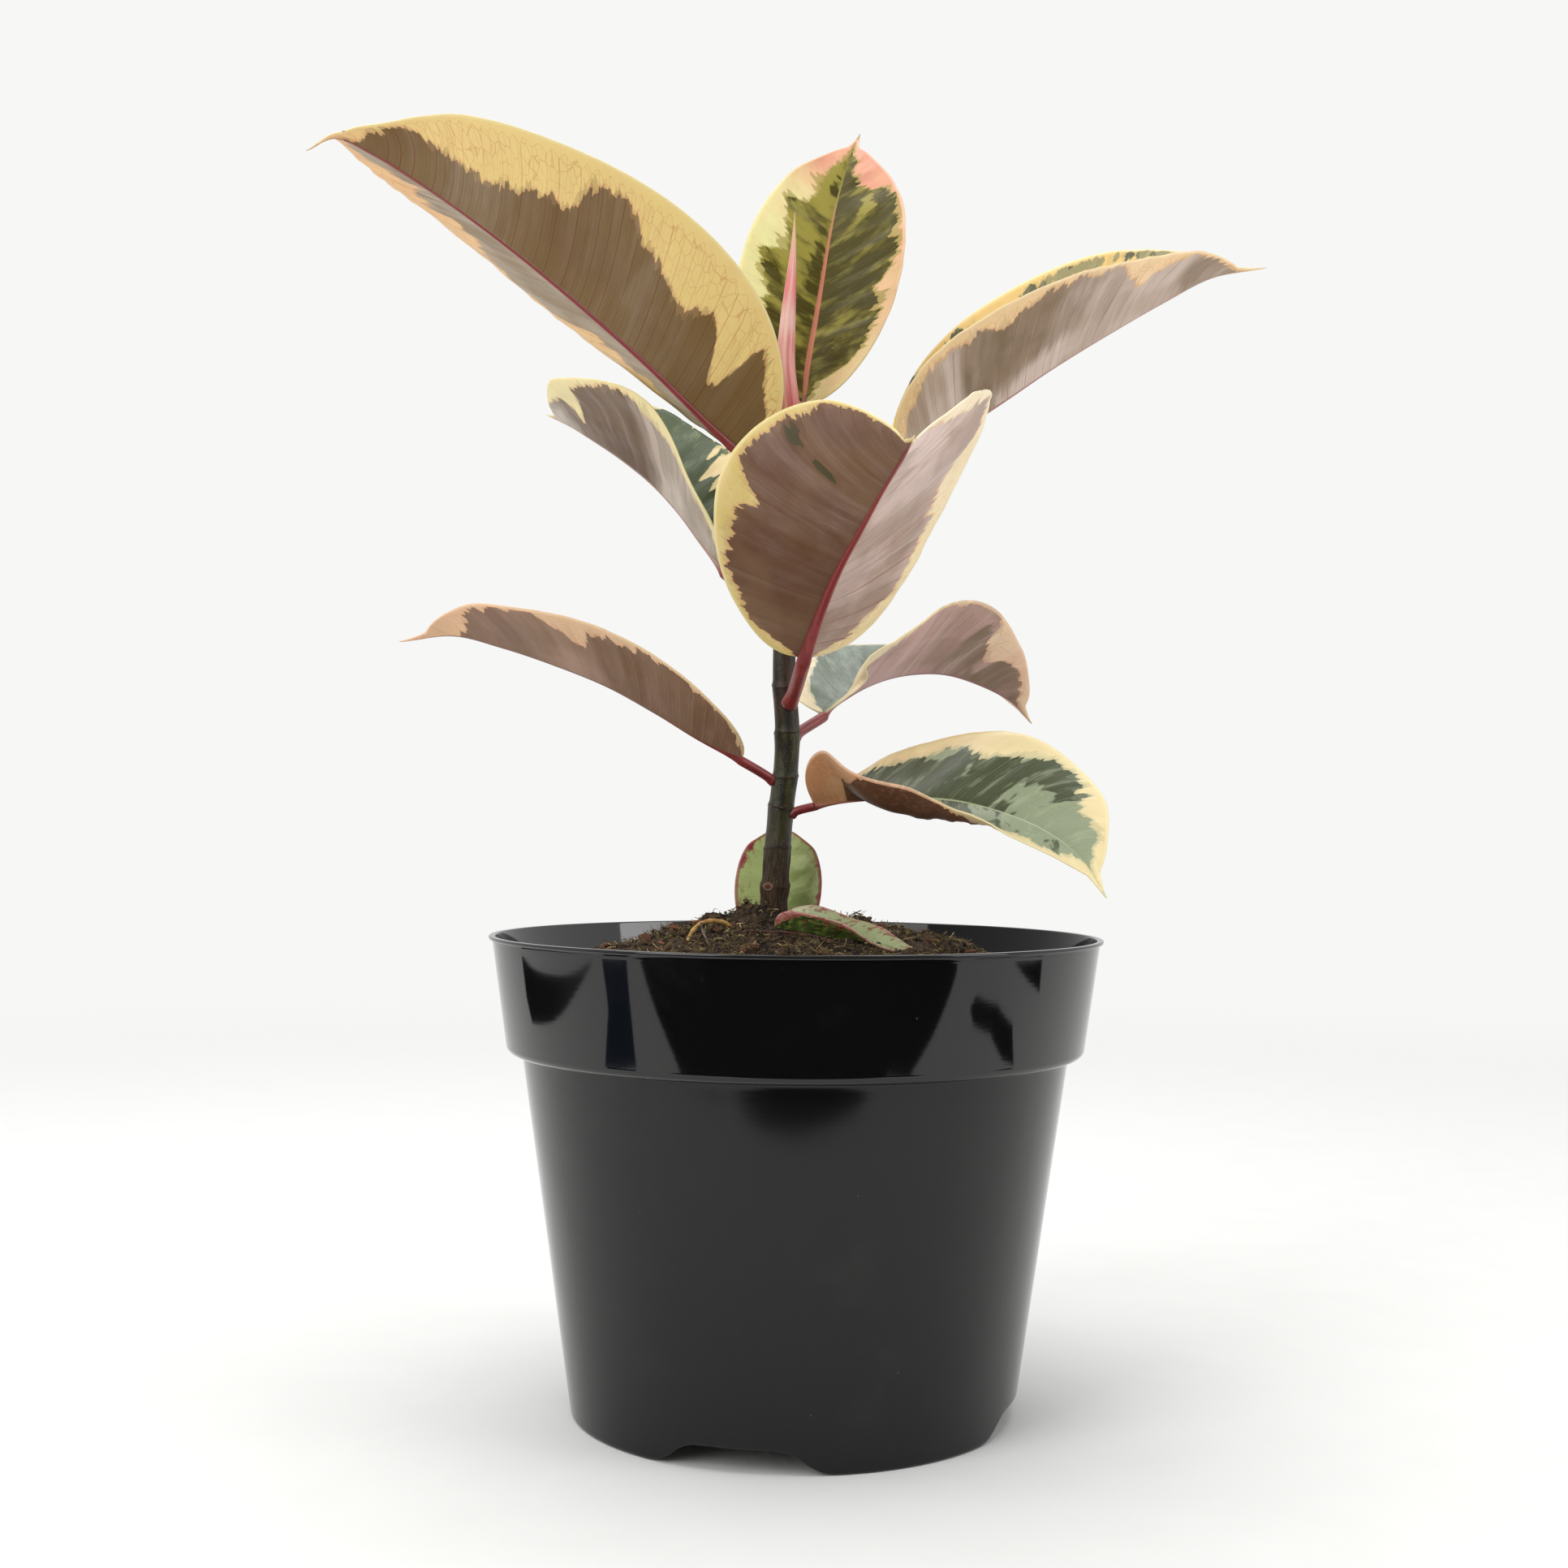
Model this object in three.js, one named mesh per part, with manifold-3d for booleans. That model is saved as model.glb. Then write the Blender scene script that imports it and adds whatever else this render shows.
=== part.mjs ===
// A young variegated rubber plant (Ficus elastica) in a black nursery pot.
// Millimetres, +Z up, -Y is the front. The plant is laid out around the axis of its pot, and the whole
// group is then moved so that the origin is the centre of its outer box, at the level of the pot's feet.
import * as THREE from 'three';
import { mergeVertices } from 'three/addons/utils/BufferGeometryUtils.js';
import Module from 'manifold-3d';

const wasm = await Module();
wasm.setup();

const DEG = Math.PI / 180;

// Driving dimensions of the pot
const POT_HEIGHT = 126.4;
const RIM_RADIUS = 82.5; // outer edge of the lip: a pot of 165 mm, sold as 6.5 inch
const LIP_HEIGHT = 1.2;
const COLLAR_BOTTOM = 95.6; // height at which the collar steps in to the body
const COLLAR_TOP_RADIUS = 81.1;
const COLLAR_BOTTOM_RADIUS = 77.6;
const COLLAR_CORNER = 2.2; // rounding under the collar
const BODY_TOP_RADIUS = 73.2;
const FOOT_RADIUS = 59.4;
const WALL = 1.4;
const FLOOR_HEIGHT = 6.8; // underside of the pot's floor, above its feet
const NOTCHES = 4;
const NOTCH_HEIGHT = 6;
const NOTCH_FIRST_ANGLE = -103.5; // azimuth of a notch's middle: 0 is +X, -90 the front
const NOTCH_TOP_WIDTH = 26;
const NOTCH_FOOT_WIDTH = 41;
const DRAINS = 4;
const DRAIN_RADIUS = 4.5;
const DRAIN_RING = 38;
const DRAIN_SIDES = 12;
const POT_SIDES = 60;

// Driving dimensions of the soil
const GAP = 0.3; // clearance between neighbours
const SOIL_EDGE = 113.5;
const SOIL_CROWN = 129;
const SOIL_SECTORS = 42;
const SOIL_RINGS = 12;
const SOIL_LUMP = 1.7;
const CLODS = [ // each: x, y, height, reach
  [-22, 2, 3.4, 7],
  [-8, -3, 1.6, 6],
  [18, 6, 1.8, 9],
  [34, -4, 1.6, 8],
  [-38, -8, 1.5, 8],
];

// Driving dimensions of the stem: its middle line from the roots up, and what it carries
const STEM_LINE = [
  [-6.5, 1, 100],
  [-6.4, 0, 125],
  [-5.3, 0, 148],
  [-4.4, 0, 160],
  [-3.1, 0, 172],
  [-2.8, 0, 182],
  [-3.8, 0, 196],
  [-3.6, 1, 215],
  [-3, 2, 238],
  [-2.8, 1, 258],
];
const STEM_RADII = [4.2, 4.1, 3.7, 3.6, 3.5, 3.5, 3.3, 3.1, 2.9, 2.5]; // at the points of STEM_LINE
const STEM_NODES = [140, 150, 161, 169.5, 181, 194, 212, 224, 238]; // heights of its leaf scars
const NODE_SWELL = 0.35;
const NODE_REACH = 1.3;
const STEM_SIDES = 14;
const STEM_STEPS = 22;

// Driving dimensions of the sheath that wraps the next leaf
const SHEATH_LINE = [
  [-2.6, 0, 269], [-3.4, 0, 281], [-2.6, 0, 292], [-2, 0, 303],
  [-1.8, 0, 314], [-1.7, 0, 323.5],
];
const SHEATH_RADII = [2.3, 2.35, 2.45, 1.9, 1.3, 0.7, 0.25]; // at its seat, then at each point of SHEATH_LINE
const SHEATH_ROWS = 12;

// Driving dimensions that all leaves share
const BLADE_THICKNESS = 0.7;
const BLADE_ROWS = 20;
const BLADE_COLUMNS = [-1, -0.78, -0.52, -0.25, 0, 0.25, 0.52, 0.78, 1]; // from the left margin to the right
const DRIP_TIP_SHARE = 0.075; // share of the midrib's length that is the narrow drip tip
const DRIP_TIP_HALF = 1.3;
const DRIP_TIP_END = 0.35;
const RIB_END = 0.92; // share of the midrib's length at which its ridge fades out
const RIB_END_RADIUS = 0.4;
const RIB_SIDES = 7;
const RIB_ROWS = 13;
const PETIOLE_ROWS = 6;
const PETIOLE_RISE = 0.7; // how steeply a petiole leaves the stem
const PETIOLE_LEAD = 0.2; // share of its length over which it leaves so
const PETIOLE_SWELL = 1.12; // how much thicker it is there

// Each leaf, oldest first. rib: the midrib from the base of the blade to its tip. faces: the way that
// the upper side looks, at even steps along the midrib. left and right: the halves, as seen along the
// midrib from above, with the greatest half width, and at even steps along the midrib the angle at which
// the half leaves it (lift) and the angle that it then curls through (turn), in degrees.
// bow: how full the outline is towards its base and towards its tip, less is fuller. full: a further
// factor on a half's width, at even steps along the midrib. wave: the ripple of the margins.
const LEAVES = [
  {
    name: 'leaf_1', // right, low
    height: 159,
    azimuth: -20,
    petiole_radius: 1.2,
    rib: [
      [5, -2, 162], [14, -9, 163], [27, -17, 163.5], [40, -23, 163],
      [52, -29, 160], [63, -36, 155], [71, -44, 148], [76, -50, 139],
    ],
    faces: [[0.1, -0.25, 0.96], [0.05, -0.35, 0.94], [0.04, -0.36, 0.93]],
    bow: { base: 0.5, tip: 0.62 },
    left: { width: 26, lift: [24, 25, 35, 31], turn: [0, 7] },
    right: { width: 26, lift: [38, 42, 32, 4, -4, 1, 7, 12, 14], turn: [24, 20, 14, 42, 46, 32, 8, 0, 0] },
    wave: { size: 0.8, count: 2.5, phase: 0.4 },
  },
  {
    name: 'leaf_2', // left, low
    height: 168,
    azimuth: -160,
    petiole_radius: 1.3,
    rib: [
      [-15, -6, 174], [-26, -8, 179], [-38, -9, 186], [-51, -10, 193],
      [-65, -11, 198.5], [-79, -12, 203], [-92, -12, 206], [-106, -13, 204],
    ],
    faces: [[0.3, 0.15, 0.94], [0.3, 0.1, 0.95], [0.3, 0.15, 0.94]],
    bow: { base: 0.53, tip: 0.53 },
    left: { width: 24.5, lift: [20, 25, 20, 26], turn: [0, 2] },
    right: { width: 24.5, lift: [26, 28, 24, 22], turn: [6, 4] },
    wave: { size: 0.7, count: 2, phase: 1.5 },
  },
  {
    name: 'leaf_3', // right, back
    height: 180,
    azimuth: 52,
    petiole_radius: 1.5,
    rib: [
      [7, 10, 187], [11, 18, 190.5], [20, 24, 196], [30, 30, 199.5],
      [42, 36, 200.5], [53, 42, 198], [64, 48, 193], [70, 52, 187],
    ],
    faces: [[0, -0.03, 1], [-0.06, 0.05, 1], [-0.05, 0.05, 1]],
    bow: { base: 0.52, tip: 0.5 },
    left: { width: 25, lift: [22, 30, 26, 24], turn: [0, 2] },
    right: { width: 25, lift: [30, 30, 42, 34], turn: [3, 10] },
    wave: { size: 0.9, count: 2, phase: 0.2 },
  },
  {
    name: 'leaf_4', // front
    height: 189,
    azimuth: -72,
    petiole_radius: 2.4,
    rib: [
      [1, -20, 200], [5, -27, 211], [9.5, -38, 221], [14.5, -52, 229],
      [18.5, -67, 235], [21.5, -82, 238.5], [23, -97, 240], [24, -110, 241],
    ],
    faces: [[-0.15, 0.37, 0.92], [-0.33, 0.31, 0.89], [-0.05, 0.4, 0.92]],
    bow: { base: 0.45, tip: 0.55 },
    left: { width: 36.5, lift: [15, 23, 25, 30, 45], turn: [0, 8], full: [0.95, 1.24, 0.86] },
    right: { width: 36, lift: [6, 22, 38, 55], turn: [-4, 12], full: [0.8, 1.03, 0.85] },
    wave: { size: 0.6, count: 1.5, phase: 2 },
  },
  {
    name: 'leaf_5', // left, back
    height: 216,
    azimuth: 158,
    petiole_radius: 1.6,
    rib: [
      [-20, 7, 226], [-27, 11, 234.5], [-34, 17, 244], [-42, 23.5, 253],
      [-51, 30.5, 261], [-60, 38.5, 268], [-68, 47, 274], [-76, 56, 279],
    ],
    faces: [[0.54, -0.25, 0.8], [0.6, -0.17, 0.78], [0.52, -0.3, 0.8]],
    bow: { base: 0.49, tip: 0.44 },
    left: { width: 27.5, lift: [36, 42, 35, 22], turn: [0, -8] },
    right: { width: 28.5, lift: [44, 45, 45, 40], turn: [0, 0] },
    wave: { size: 1, count: 2, phase: 3 },
  },
  {
    name: 'leaf_6', // right, high
    height: 226,
    azimuth: 8,
    petiole_radius: 1.9,
    rib: [
      [28, 4, 256], [40, 4, 263], [54.5, 4.5, 272.5], [69, 5, 282.5],
      [84, 5.5, 292], [100, 6, 301.5], [114, 7.5, 309], [129, 9, 312],
    ],
    faces: [[-0.47, -0.18, 0.87], [-0.44, -0.32, 0.84], [-0.45, -0.31, 0.84]],
    bow: { base: 0.45, tip: 0.63 },
    left: { width: 32.5, lift: [43, 45, 43, 42], turn: [2, 2] },
    right: { width: 32.5, lift: [52, 48, 39, 35], turn: [6, 0] },
    wave: { size: 0.5, count: 2, phase: 0 },
  },
  {
    name: 'leaf_7', // left, high
    height: 240,
    azimuth: -150,
    petiole_radius: 1.9,
    rib: [
      [-13, -4, 254], [-25, -12, 263.5], [-40, -23, 276], [-56, -34, 288],
      [-72, -45, 299], [-88, -57, 308.5], [-103, -69, 315.5], [-110, -77, 316.5],
      [-115, -84, 311],
    ],
    faces: [[0.12, 0.47, 0.88], [0.04, 0.54, 0.84], [0.1, 0.49, 0.87]],
    bow: { base: 0.44, tip: 0.62 },
    left: { width: 35.5, lift: [34, 27, 14, 16], turn: [5, -5] },
    right: { width: 36, lift: [38, 38, 37, 30], turn: [10, 5] },
    wave: { size: 0.5, count: 1.5, phase: 1 },
  },
  {
    name: 'leaf_8', // the youngest, at the crown
    height: 252,
    azimuth: 97,
    petiole_radius: 1.5,
    rib: [
      [1, 11, 273], [2, 14, 284], [4, 18, 297], [6, 21.5, 310],
      [8, 25, 323.5], [10.5, 30, 337], [14, 34.5, 350], [17, 40, 359],
    ],
    faces: [[-0.12, -0.93, 0.34], [-0.16, -0.93, 0.34], [-0.15, -0.93, 0.34]],
    bow: { base: 0.47, tip: 0.63 },
    left: { width: 24, lift: [21, 18, 16, 18], turn: [0, -4] },
    right: { width: 26.2, lift: [20, 21, 20, 22], turn: [0, 0], full: [0.84, 1, 1.03] },
    wave: { size: 0.4, count: 2, phase: 0.5 },
  },
];

// The two small leaves at the foot of the stem, which have no petiole above the soil
const BASE_LEAVES = [
  {
    name: 'base_leaf_back',
    rib: [[-6, 9, 122], [-5.6, 11, 132], [-5, 13, 141], [-4.4, 14.5, 150], [-4, 15, 157.5]],
    faces: [[0, -1, 0.2]],
    bow: { base: 0.42, tip: 0.42 },
    left: { width: 12, lift: [12, 8], turn: [6, 6] },
    right: { width: 12.4, lift: [10, 6], turn: [8, 8] },
    wave: { size: 0.4, count: 1.5, phase: 0 },
  },
  {
    name: 'base_leaf_front',
    rib: [[-6, -13, 131.5], [3, -15.5, 131], [12, -18, 129.6], [21, -20, 127.8], [30, -22, 125.5]],
    faces: [[0.15, -0.5, 0.85], [0.1, -0.25, 0.95]],
    bow: { base: 0.4, tip: 0.55 },
    left: { width: 6.5, lift: [6, 8], turn: [8, 4] },
    right: { width: 7.5, lift: [-2, 4], turn: [-10, 0] },
    wave: { size: 0.5, count: 1.5, phase: 1 },
  },
];

// What lies on the soil: an arched yellow root and a dark strand
const ROOT_LINE = [
  [-15, -9, 126], [-19.5, -13, 130.4], [-25, -15, 130.2], [-28, -17, 127],
  [-29.5, -18, 121],
];
const ROOT_RADIUS = 1.25;
const STRAND_LINE = [
  [-17, -19, 124.6], [-14, -22, 128.2], [-6, -25, 128.6], [3, -26.5, 128],
  [10, -28, 126.2], [14.5, -29, 123],
];
const STRAND_RADIUS = 0.5;
const LAID_ROWS = 14;
const LAID_TAPER = 0.35; // share of its thickness that such a piece loses towards its far end

const FINISH = {
  pot: { color: 0x1b1c1d, roughness: 0.25, metalness: 0 },
  soil: { color: 0x4a3526, roughness: 0.95, metalness: 0 },
  stem: { color: 0x4b4636, roughness: 0.6, metalness: 0 },
  blade: { color: 0x8c8a63, roughness: 0.35, metalness: 0 },
  petiole: { color: 0x9c3540, roughness: 0.4, metalness: 0 },
  sheath: { color: 0xd96a78, roughness: 0.45, metalness: 0 },
  small_blade: { color: 0x87a06a, roughness: 0.4, metalness: 0 },
  root: { color: 0xc9a45a, roughness: 0.6, metalness: 0 },
  strand: { color: 0x3a2420, roughness: 0.7, metalness: 0 },
};

// Numbers, curves and rings

function point(place) {
  return new THREE.Vector3(...place);
}

function curveThrough(places) {
  return new THREE.CatmullRomCurve3(places.map(point));
}

// A number read off a smooth line through values that stand at even steps.
function along(values, share) {
  if (values.length === 1) return values[0];
  const place = THREE.MathUtils.clamp(share, 0, 1) * (values.length - 1);
  const i = Math.min(Math.floor(place), values.length - 2);
  const at = (k) => values[THREE.MathUtils.clamp(k, 0, values.length - 1)];
  const [a, b, c, d] = [at(i - 1), at(i), at(i + 1), at(i + 2)];
  const t = place - i;
  const [slope, bend, twist] = [c - a, 2 * a - 5 * b + 4 * c - d, 3 * b - a - 3 * c + d];
  return b + (slope * t + bend * t ** 2 + twist * t ** 3) / 2;
}

function alongPoints(places, share) {
  return point([0, 1, 2].map((axis) => along(places.map((place) => place[axis]), share)));
}

// A closed geometry from its triangles, turned so that its faces look out.
function closedGeometry(points, triangles) {
  const volume = triangles.reduce((sum, [a, b, c]) => {
    return sum + points[a].dot(new THREE.Vector3().crossVectors(points[b], points[c]));
  }, 0);
  const geometry = new THREE.BufferGeometry().setFromPoints(points);
  geometry.setIndex(triangles.flatMap(([a, b, c]) => (volume < 0 ? [a, c, b] : [a, b, c])));
  return geometry;
}

// A closed body through rings of equally many points. Each end is closed across its ring, and the
// second half of a ring is split along the other diagonal, so both faces of a thin body match.
function loft(rings) {
  const count = rings[0].length;
  const triangles = [];
  rings.slice(1).forEach((ring, row) => {
    for (let k = 0; k < count; k += 1) {
      const a = row * count + k;
      const b = row * count + ((k + 1) % count);
      const [c, d] = [a + count, b + count];
      if (k < count / 2 - 1) triangles.push([a, b, d], [a, d, c]);
      else triangles.push([a, b, c], [b, d, c]);
    }
  });
  const closeEnd = (first, turned) => {
    for (let k = 0; k < Math.floor((count - 1) / 2); k += 1) {
      const [a, b] = [first + k, first + k + 1];
      const [c, d] = [first + count - 1 - k, first + count - 2 - k];
      const pair = b === d ? [[a, b, c]] : [[a, b, d], [a, d, c]];
      pair.forEach(([p, q, r]) => triangles.push(turned ? [p, r, q] : [p, q, r]));
    }
  };
  closeEnd(0, true);
  closeEnd((rings.length - 1) * count, false);
  return closedGeometry(rings.flat(), triangles);
}

// A tube through middles, with its radius at each, closed at both ends.
function taperedTube(middles, radii, sides) {
  let across = new THREE.Vector3(1, 0, 0);
  const rings = middles.map((middle, i) => {
    const ahead = middles[Math.min(i + 1, middles.length - 1)];
    const behind = middles[Math.max(i - 1, 0)];
    const forward = new THREE.Vector3().subVectors(ahead, behind).normalize();
    if (i === 0 && Math.abs(forward.x) > 0.9) across = new THREE.Vector3(0, 1, 0);
    across = across.clone().addScaledVector(forward, -across.dot(forward)).normalize();
    const over = new THREE.Vector3().crossVectors(forward, across);
    return Array.from({ length: sides }, (_, k) => {
      const angle = (2 * Math.PI * k) / sides;
      return middle
        .clone()
        .addScaledVector(across, radii[i] * Math.cos(angle))
        .addScaledVector(over, radii[i] * Math.sin(angle));
    });
  });
  return loft(rings);
}

// Joining and cutting

function solidOf(geometry) {
  const bare = new THREE.BufferGeometry().setAttribute('position', geometry.getAttribute('position').clone());
  if (geometry.index) bare.setIndex(geometry.index.clone());
  const merged = mergeVertices(bare, 1e-4);
  const corners = Array.from(merged.index.array);
  const kept = [];
  for (let i = 0; i < corners.length; i += 3) {
    const [a, b, c] = corners.slice(i, i + 3);
    if (a !== b && b !== c && c !== a) kept.push(a, b, c);
  }
  return new wasm.Manifold(new wasm.Mesh({
    numProp: 3,
    vertProperties: merged.getAttribute('position').array,
    triVerts: new Uint32Array(kept),
  }));
}

function geometryOf(solid) {
  const mesh = solid.getMesh();
  const geometry = new THREE.BufferGeometry();
  geometry.setAttribute('position', new THREE.BufferAttribute(mesh.vertProperties, 3));
  geometry.setIndex(new THREE.BufferAttribute(mesh.triVerts, 1));
  return geometry;
}

// A body less its cutters; a crumb that a cut leaves loose is dropped.
function cut(geometry, cutters) {
  const whole = cutters.reduce((left, cutter) => left.subtract(solidOf(cutter)), solidOf(geometry));
  const pieces = whole.decompose().sort((a, b) => b.volume() - a.volume());
  return geometryOf(pieces[0]);
}

// The pot

// Inner radius of the pot, as a line down its inside from the lip to the floor: [radius, height].
function potInside(clearance) {
  const wall = WALL + clearance;
  const slope = (BODY_TOP_RADIUS - FOOT_RADIUS) / COLLAR_BOTTOM;
  const floor = FLOOR_HEIGHT + wall;
  const ledge = COLLAR_BOTTOM + wall;
  return [
    [COLLAR_TOP_RADIUS - wall, POT_HEIGHT],
    [COLLAR_BOTTOM_RADIUS - wall, ledge],
    [BODY_TOP_RADIUS - wall, ledge],
    [FOOT_RADIUS + slope * floor - wall, floor],
  ];
}

function revolve(profile, sides) {
  const outline = profile.map(([radius, height]) => new THREE.Vector2(radius, height));
  const lathe = new THREE.LatheGeometry(outline, sides);
  lathe.rotateX(90 * DEG);
  return lathe;
}

function potShell() {
  const inside = potInside(0);
  const slope = (BODY_TOP_RADIUS - FOOT_RADIUS) / COLLAR_BOTTOM;
  const corner = [0, 30, 60, 90].map((angle) => [
    COLLAR_BOTTOM_RADIUS - COLLAR_CORNER * (1 - Math.cos(angle * DEG)),
    COLLAR_BOTTOM + COLLAR_CORNER * (1 - Math.sin(angle * DEG)),
  ]);
  return revolve([
    [0, FLOOR_HEIGHT],
    [FOOT_RADIUS + slope * FLOOR_HEIGHT - WALL, FLOOR_HEIGHT],
    [FOOT_RADIUS - WALL, 0],
    [FOOT_RADIUS, 0],
    [BODY_TOP_RADIUS, COLLAR_BOTTOM],
    ...corner.reverse(),
    [COLLAR_TOP_RADIUS, POT_HEIGHT - LIP_HEIGHT],
    [RIM_RADIUS, POT_HEIGHT - LIP_HEIGHT],
    [RIM_RADIUS, POT_HEIGHT],
    ...inside,
    [0, inside.at(-1)[1]],
  ], POT_SIDES);
}

// One notch between two feet: a block that widens downwards, laid across the wall of the foot.
function footNotch(azimuth) {
  const below = 1;
  const spread = (NOTCH_FOOT_WIDTH - NOTCH_TOP_WIDTH) / 2 / NOTCH_HEIGHT;
  const low = NOTCH_FOOT_WIDTH / 2 + spread * below;
  const high = NOTCH_TOP_WIDTH / 2;
  const outline = new THREE.Shape([
    new THREE.Vector2(-low, -below),
    new THREE.Vector2(low, -below),
    new THREE.Vector2(high, NOTCH_HEIGHT),
    new THREE.Vector2(-high, NOTCH_HEIGHT),
  ]);
  const reach = FOOT_RADIUS / 3;
  const block = new THREE.ExtrudeGeometry(outline, { depth: reach, bevelEnabled: false });
  const tangent = new THREE.Vector3(-Math.sin(azimuth), Math.cos(azimuth), 0);
  const outward = new THREE.Vector3(Math.cos(azimuth), Math.sin(azimuth), 0);
  block.applyMatrix4(new THREE.Matrix4().makeBasis(tangent, new THREE.Vector3(0, 0, 1), outward));
  block.translate(...outward.multiplyScalar(FOOT_RADIUS - reach / 2).toArray());
  return block;
}

function drainHole(azimuth) {
  const depth = 4 * WALL; // it runs past both faces of the floor
  const hole = new THREE.CylinderGeometry(DRAIN_RADIUS, DRAIN_RADIUS, depth, DRAIN_SIDES);
  hole.rotateX(90 * DEG);
  hole.translate(DRAIN_RING * Math.cos(azimuth), DRAIN_RING * Math.sin(azimuth), FLOOR_HEIGHT + WALL / 2);
  return hole;
}

function potGeometry() {
  const around = (count) => {
    return Array.from({ length: count }, (_, k) => (NOTCH_FIRST_ANGLE + (360 / count) * k) * DEG);
  };
  return cut(potShell(), [...around(NOTCHES).map(footNotch), ...around(DRAINS).map(drainHole)]);
}

// The soil

// Height of the soil: a low mound, heaps round its clods, and crumbs that fade out at the wall of the pot.
function soilHeight(x, y, edgeRadius) {
  const share = Math.min(Math.hypot(x, y) / edgeRadius, 1);
  const mound = SOIL_EDGE + (SOIL_CROWN - SOIL_EDGE) * Math.cos(share * 90 * DEG);
  const crumbs = 0.6 * Math.sin(x / 6.1 + 0.8) * Math.cos(y / 7.3 - 0.4)
    + 0.5 * Math.sin((x + y) / 4.7 + 1.9) * Math.cos((x - y) / 5.9 + 0.3)
    + 0.35 * Math.cos(x / 3.3 - y / 9.1);
  const heaps = CLODS.reduce((sum, [cx, cy, height, reach]) => {
    return sum + height * Math.exp(-(((x - cx) / reach) ** 2) - ((y - cy) / reach) ** 2);
  }, 0);
  return mound + heaps + SOIL_LUMP * crumbs * (1 - share ** 4);
}

function soilGeometry(cutters) {
  const [top, ledgeOut, ledgeIn, floor] = potInside(GAP);
  const rise = (SOIL_EDGE - ledgeOut[1]) / (top[1] - ledgeOut[1]);
  const edgeRadius = ledgeOut[0] + (top[0] - ledgeOut[0]) * rise;
  const points = [];
  const ringOf = (radius, height) => {
    for (let k = 0; k < SOIL_SECTORS; k += 1) {
      const angle = (2 * Math.PI * k) / SOIL_SECTORS;
      const [x, y] = [radius * Math.cos(angle), radius * Math.sin(angle)];
      points.push(new THREE.Vector3(x, y, height ?? soilHeight(x, y, edgeRadius)));
    }
  };
  for (let ring = 1; ring <= SOIL_RINGS; ring += 1) ringOf((edgeRadius * ring) / SOIL_RINGS);
  [ledgeOut, ledgeIn, floor].forEach(([radius, height]) => ringOf(radius, height));
  const rings = points.length / SOIL_SECTORS;
  const crown = points.push(new THREE.Vector3(0, 0, soilHeight(0, 0, edgeRadius))) - 1;
  const bottom = points.push(new THREE.Vector3(0, 0, floor[1])) - 1;
  const triangles = [];
  for (let k = 0; k < SOIL_SECTORS; k += 1) {
    const next = (k + 1) % SOIL_SECTORS;
    const lowest = (rings - 1) * SOIL_SECTORS;
    triangles.push([crown, k, next], [bottom, lowest + next, lowest + k]);
    for (let ring = 0; ring < rings - 1; ring += 1) {
      const [inner, outer] = [ring * SOIL_SECTORS, (ring + 1) * SOIL_SECTORS];
      triangles.push([inner + k, outer + k, outer + next], [inner + k, outer + next, inner + next]);
    }
  }
  return cut(closedGeometry(points, triangles), cutters);
}

// The stem and the sheath

const stemCurve = curveThrough(STEM_LINE);

function stemAt(height) {
  let [low, high] = [0, 1];
  while (high - low > 1e-5) {
    const middle = (low + high) / 2;
    if (stemCurve.getPoint(middle).z < height) low = middle;
    else high = middle;
  }
  const nearness = STEM_NODES.map((node) => Math.max(0, 1 - Math.abs(height - node) / NODE_REACH));
  const radius = along(STEM_RADII, low) + NODE_SWELL * Math.max(...nearness);
  return { middle: stemCurve.getPoint(low), radius };
}

// The stem, with a ring at even steps and three at each leaf scar; clearance widens it for its hole.
function stemGeometry(clearance = 0) {
  const [foot, top] = [STEM_LINE[0][2], STEM_LINE.at(-1)[2]];
  const even = Array.from({ length: STEM_STEPS + 1 }, (_, k) => foot + ((top - foot) * k) / STEM_STEPS);
  const isClear = (height) => STEM_NODES.every((node) => Math.abs(height - node) > 2 * NODE_REACH);
  const atNodes = STEM_NODES.flatMap((node) => [node - NODE_REACH, node, node + NODE_REACH]);
  const heights = [...even.filter(isClear), ...atNodes].sort((a, b) => a - b);
  const rings = heights.map(stemAt);
  rings[0].middle.z -= clearance;
  const radii = rings.map((ring) => ring.radius + clearance);
  return taperedTube(rings.map((ring) => ring.middle), radii, STEM_SIDES);
}

function sheathGeometry() {
  const [x, y, top] = STEM_LINE.at(-1);
  const line = curveThrough([[x, y, top + GAP], ...SHEATH_LINE]);
  const shares = Array.from({ length: SHEATH_ROWS + 1 }, (_, k) => k / SHEATH_ROWS);
  const middles = shares.map((share) => line.getPoint(share));
  return taperedTube(middles, shares.map((share) => along(SHEATH_RADII, share)), STEM_SIDES);
}

// The leaves

// The midrib at a share of its length: its place, the way it runs, the way the upper side looks, and
// the way to the right half.
function ribFrame(leaf, u) {
  const line = curveThrough(leaf.rib);
  const forward = line.getTangentAt(u);
  const up = alongPoints(leaf.faces, u);
  up.addScaledVector(forward, -up.dot(forward)).normalize();
  return { middle: line.getPointAt(u), forward, up, side: new THREE.Vector3().crossVectors(forward, up) };
}

function halfWidth(leaf, half, u) {
  const body = 1 - DRIP_TIP_SHARE;
  const share = Math.min(u / body, 1);
  const { base, tip } = leaf.bow;
  const widest = base / (base + tip);
  const outline = (share / widest) ** base * ((1 - share) / (1 - widest)) ** tip;
  const drip = THREE.MathUtils.lerp(DRIP_TIP_HALF, DRIP_TIP_END, Math.max(0, (u - body) / DRIP_TIP_SHARE));
  return Math.hypot(half.width * outline * along(half.full ?? [1], u), drip);
}

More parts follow.
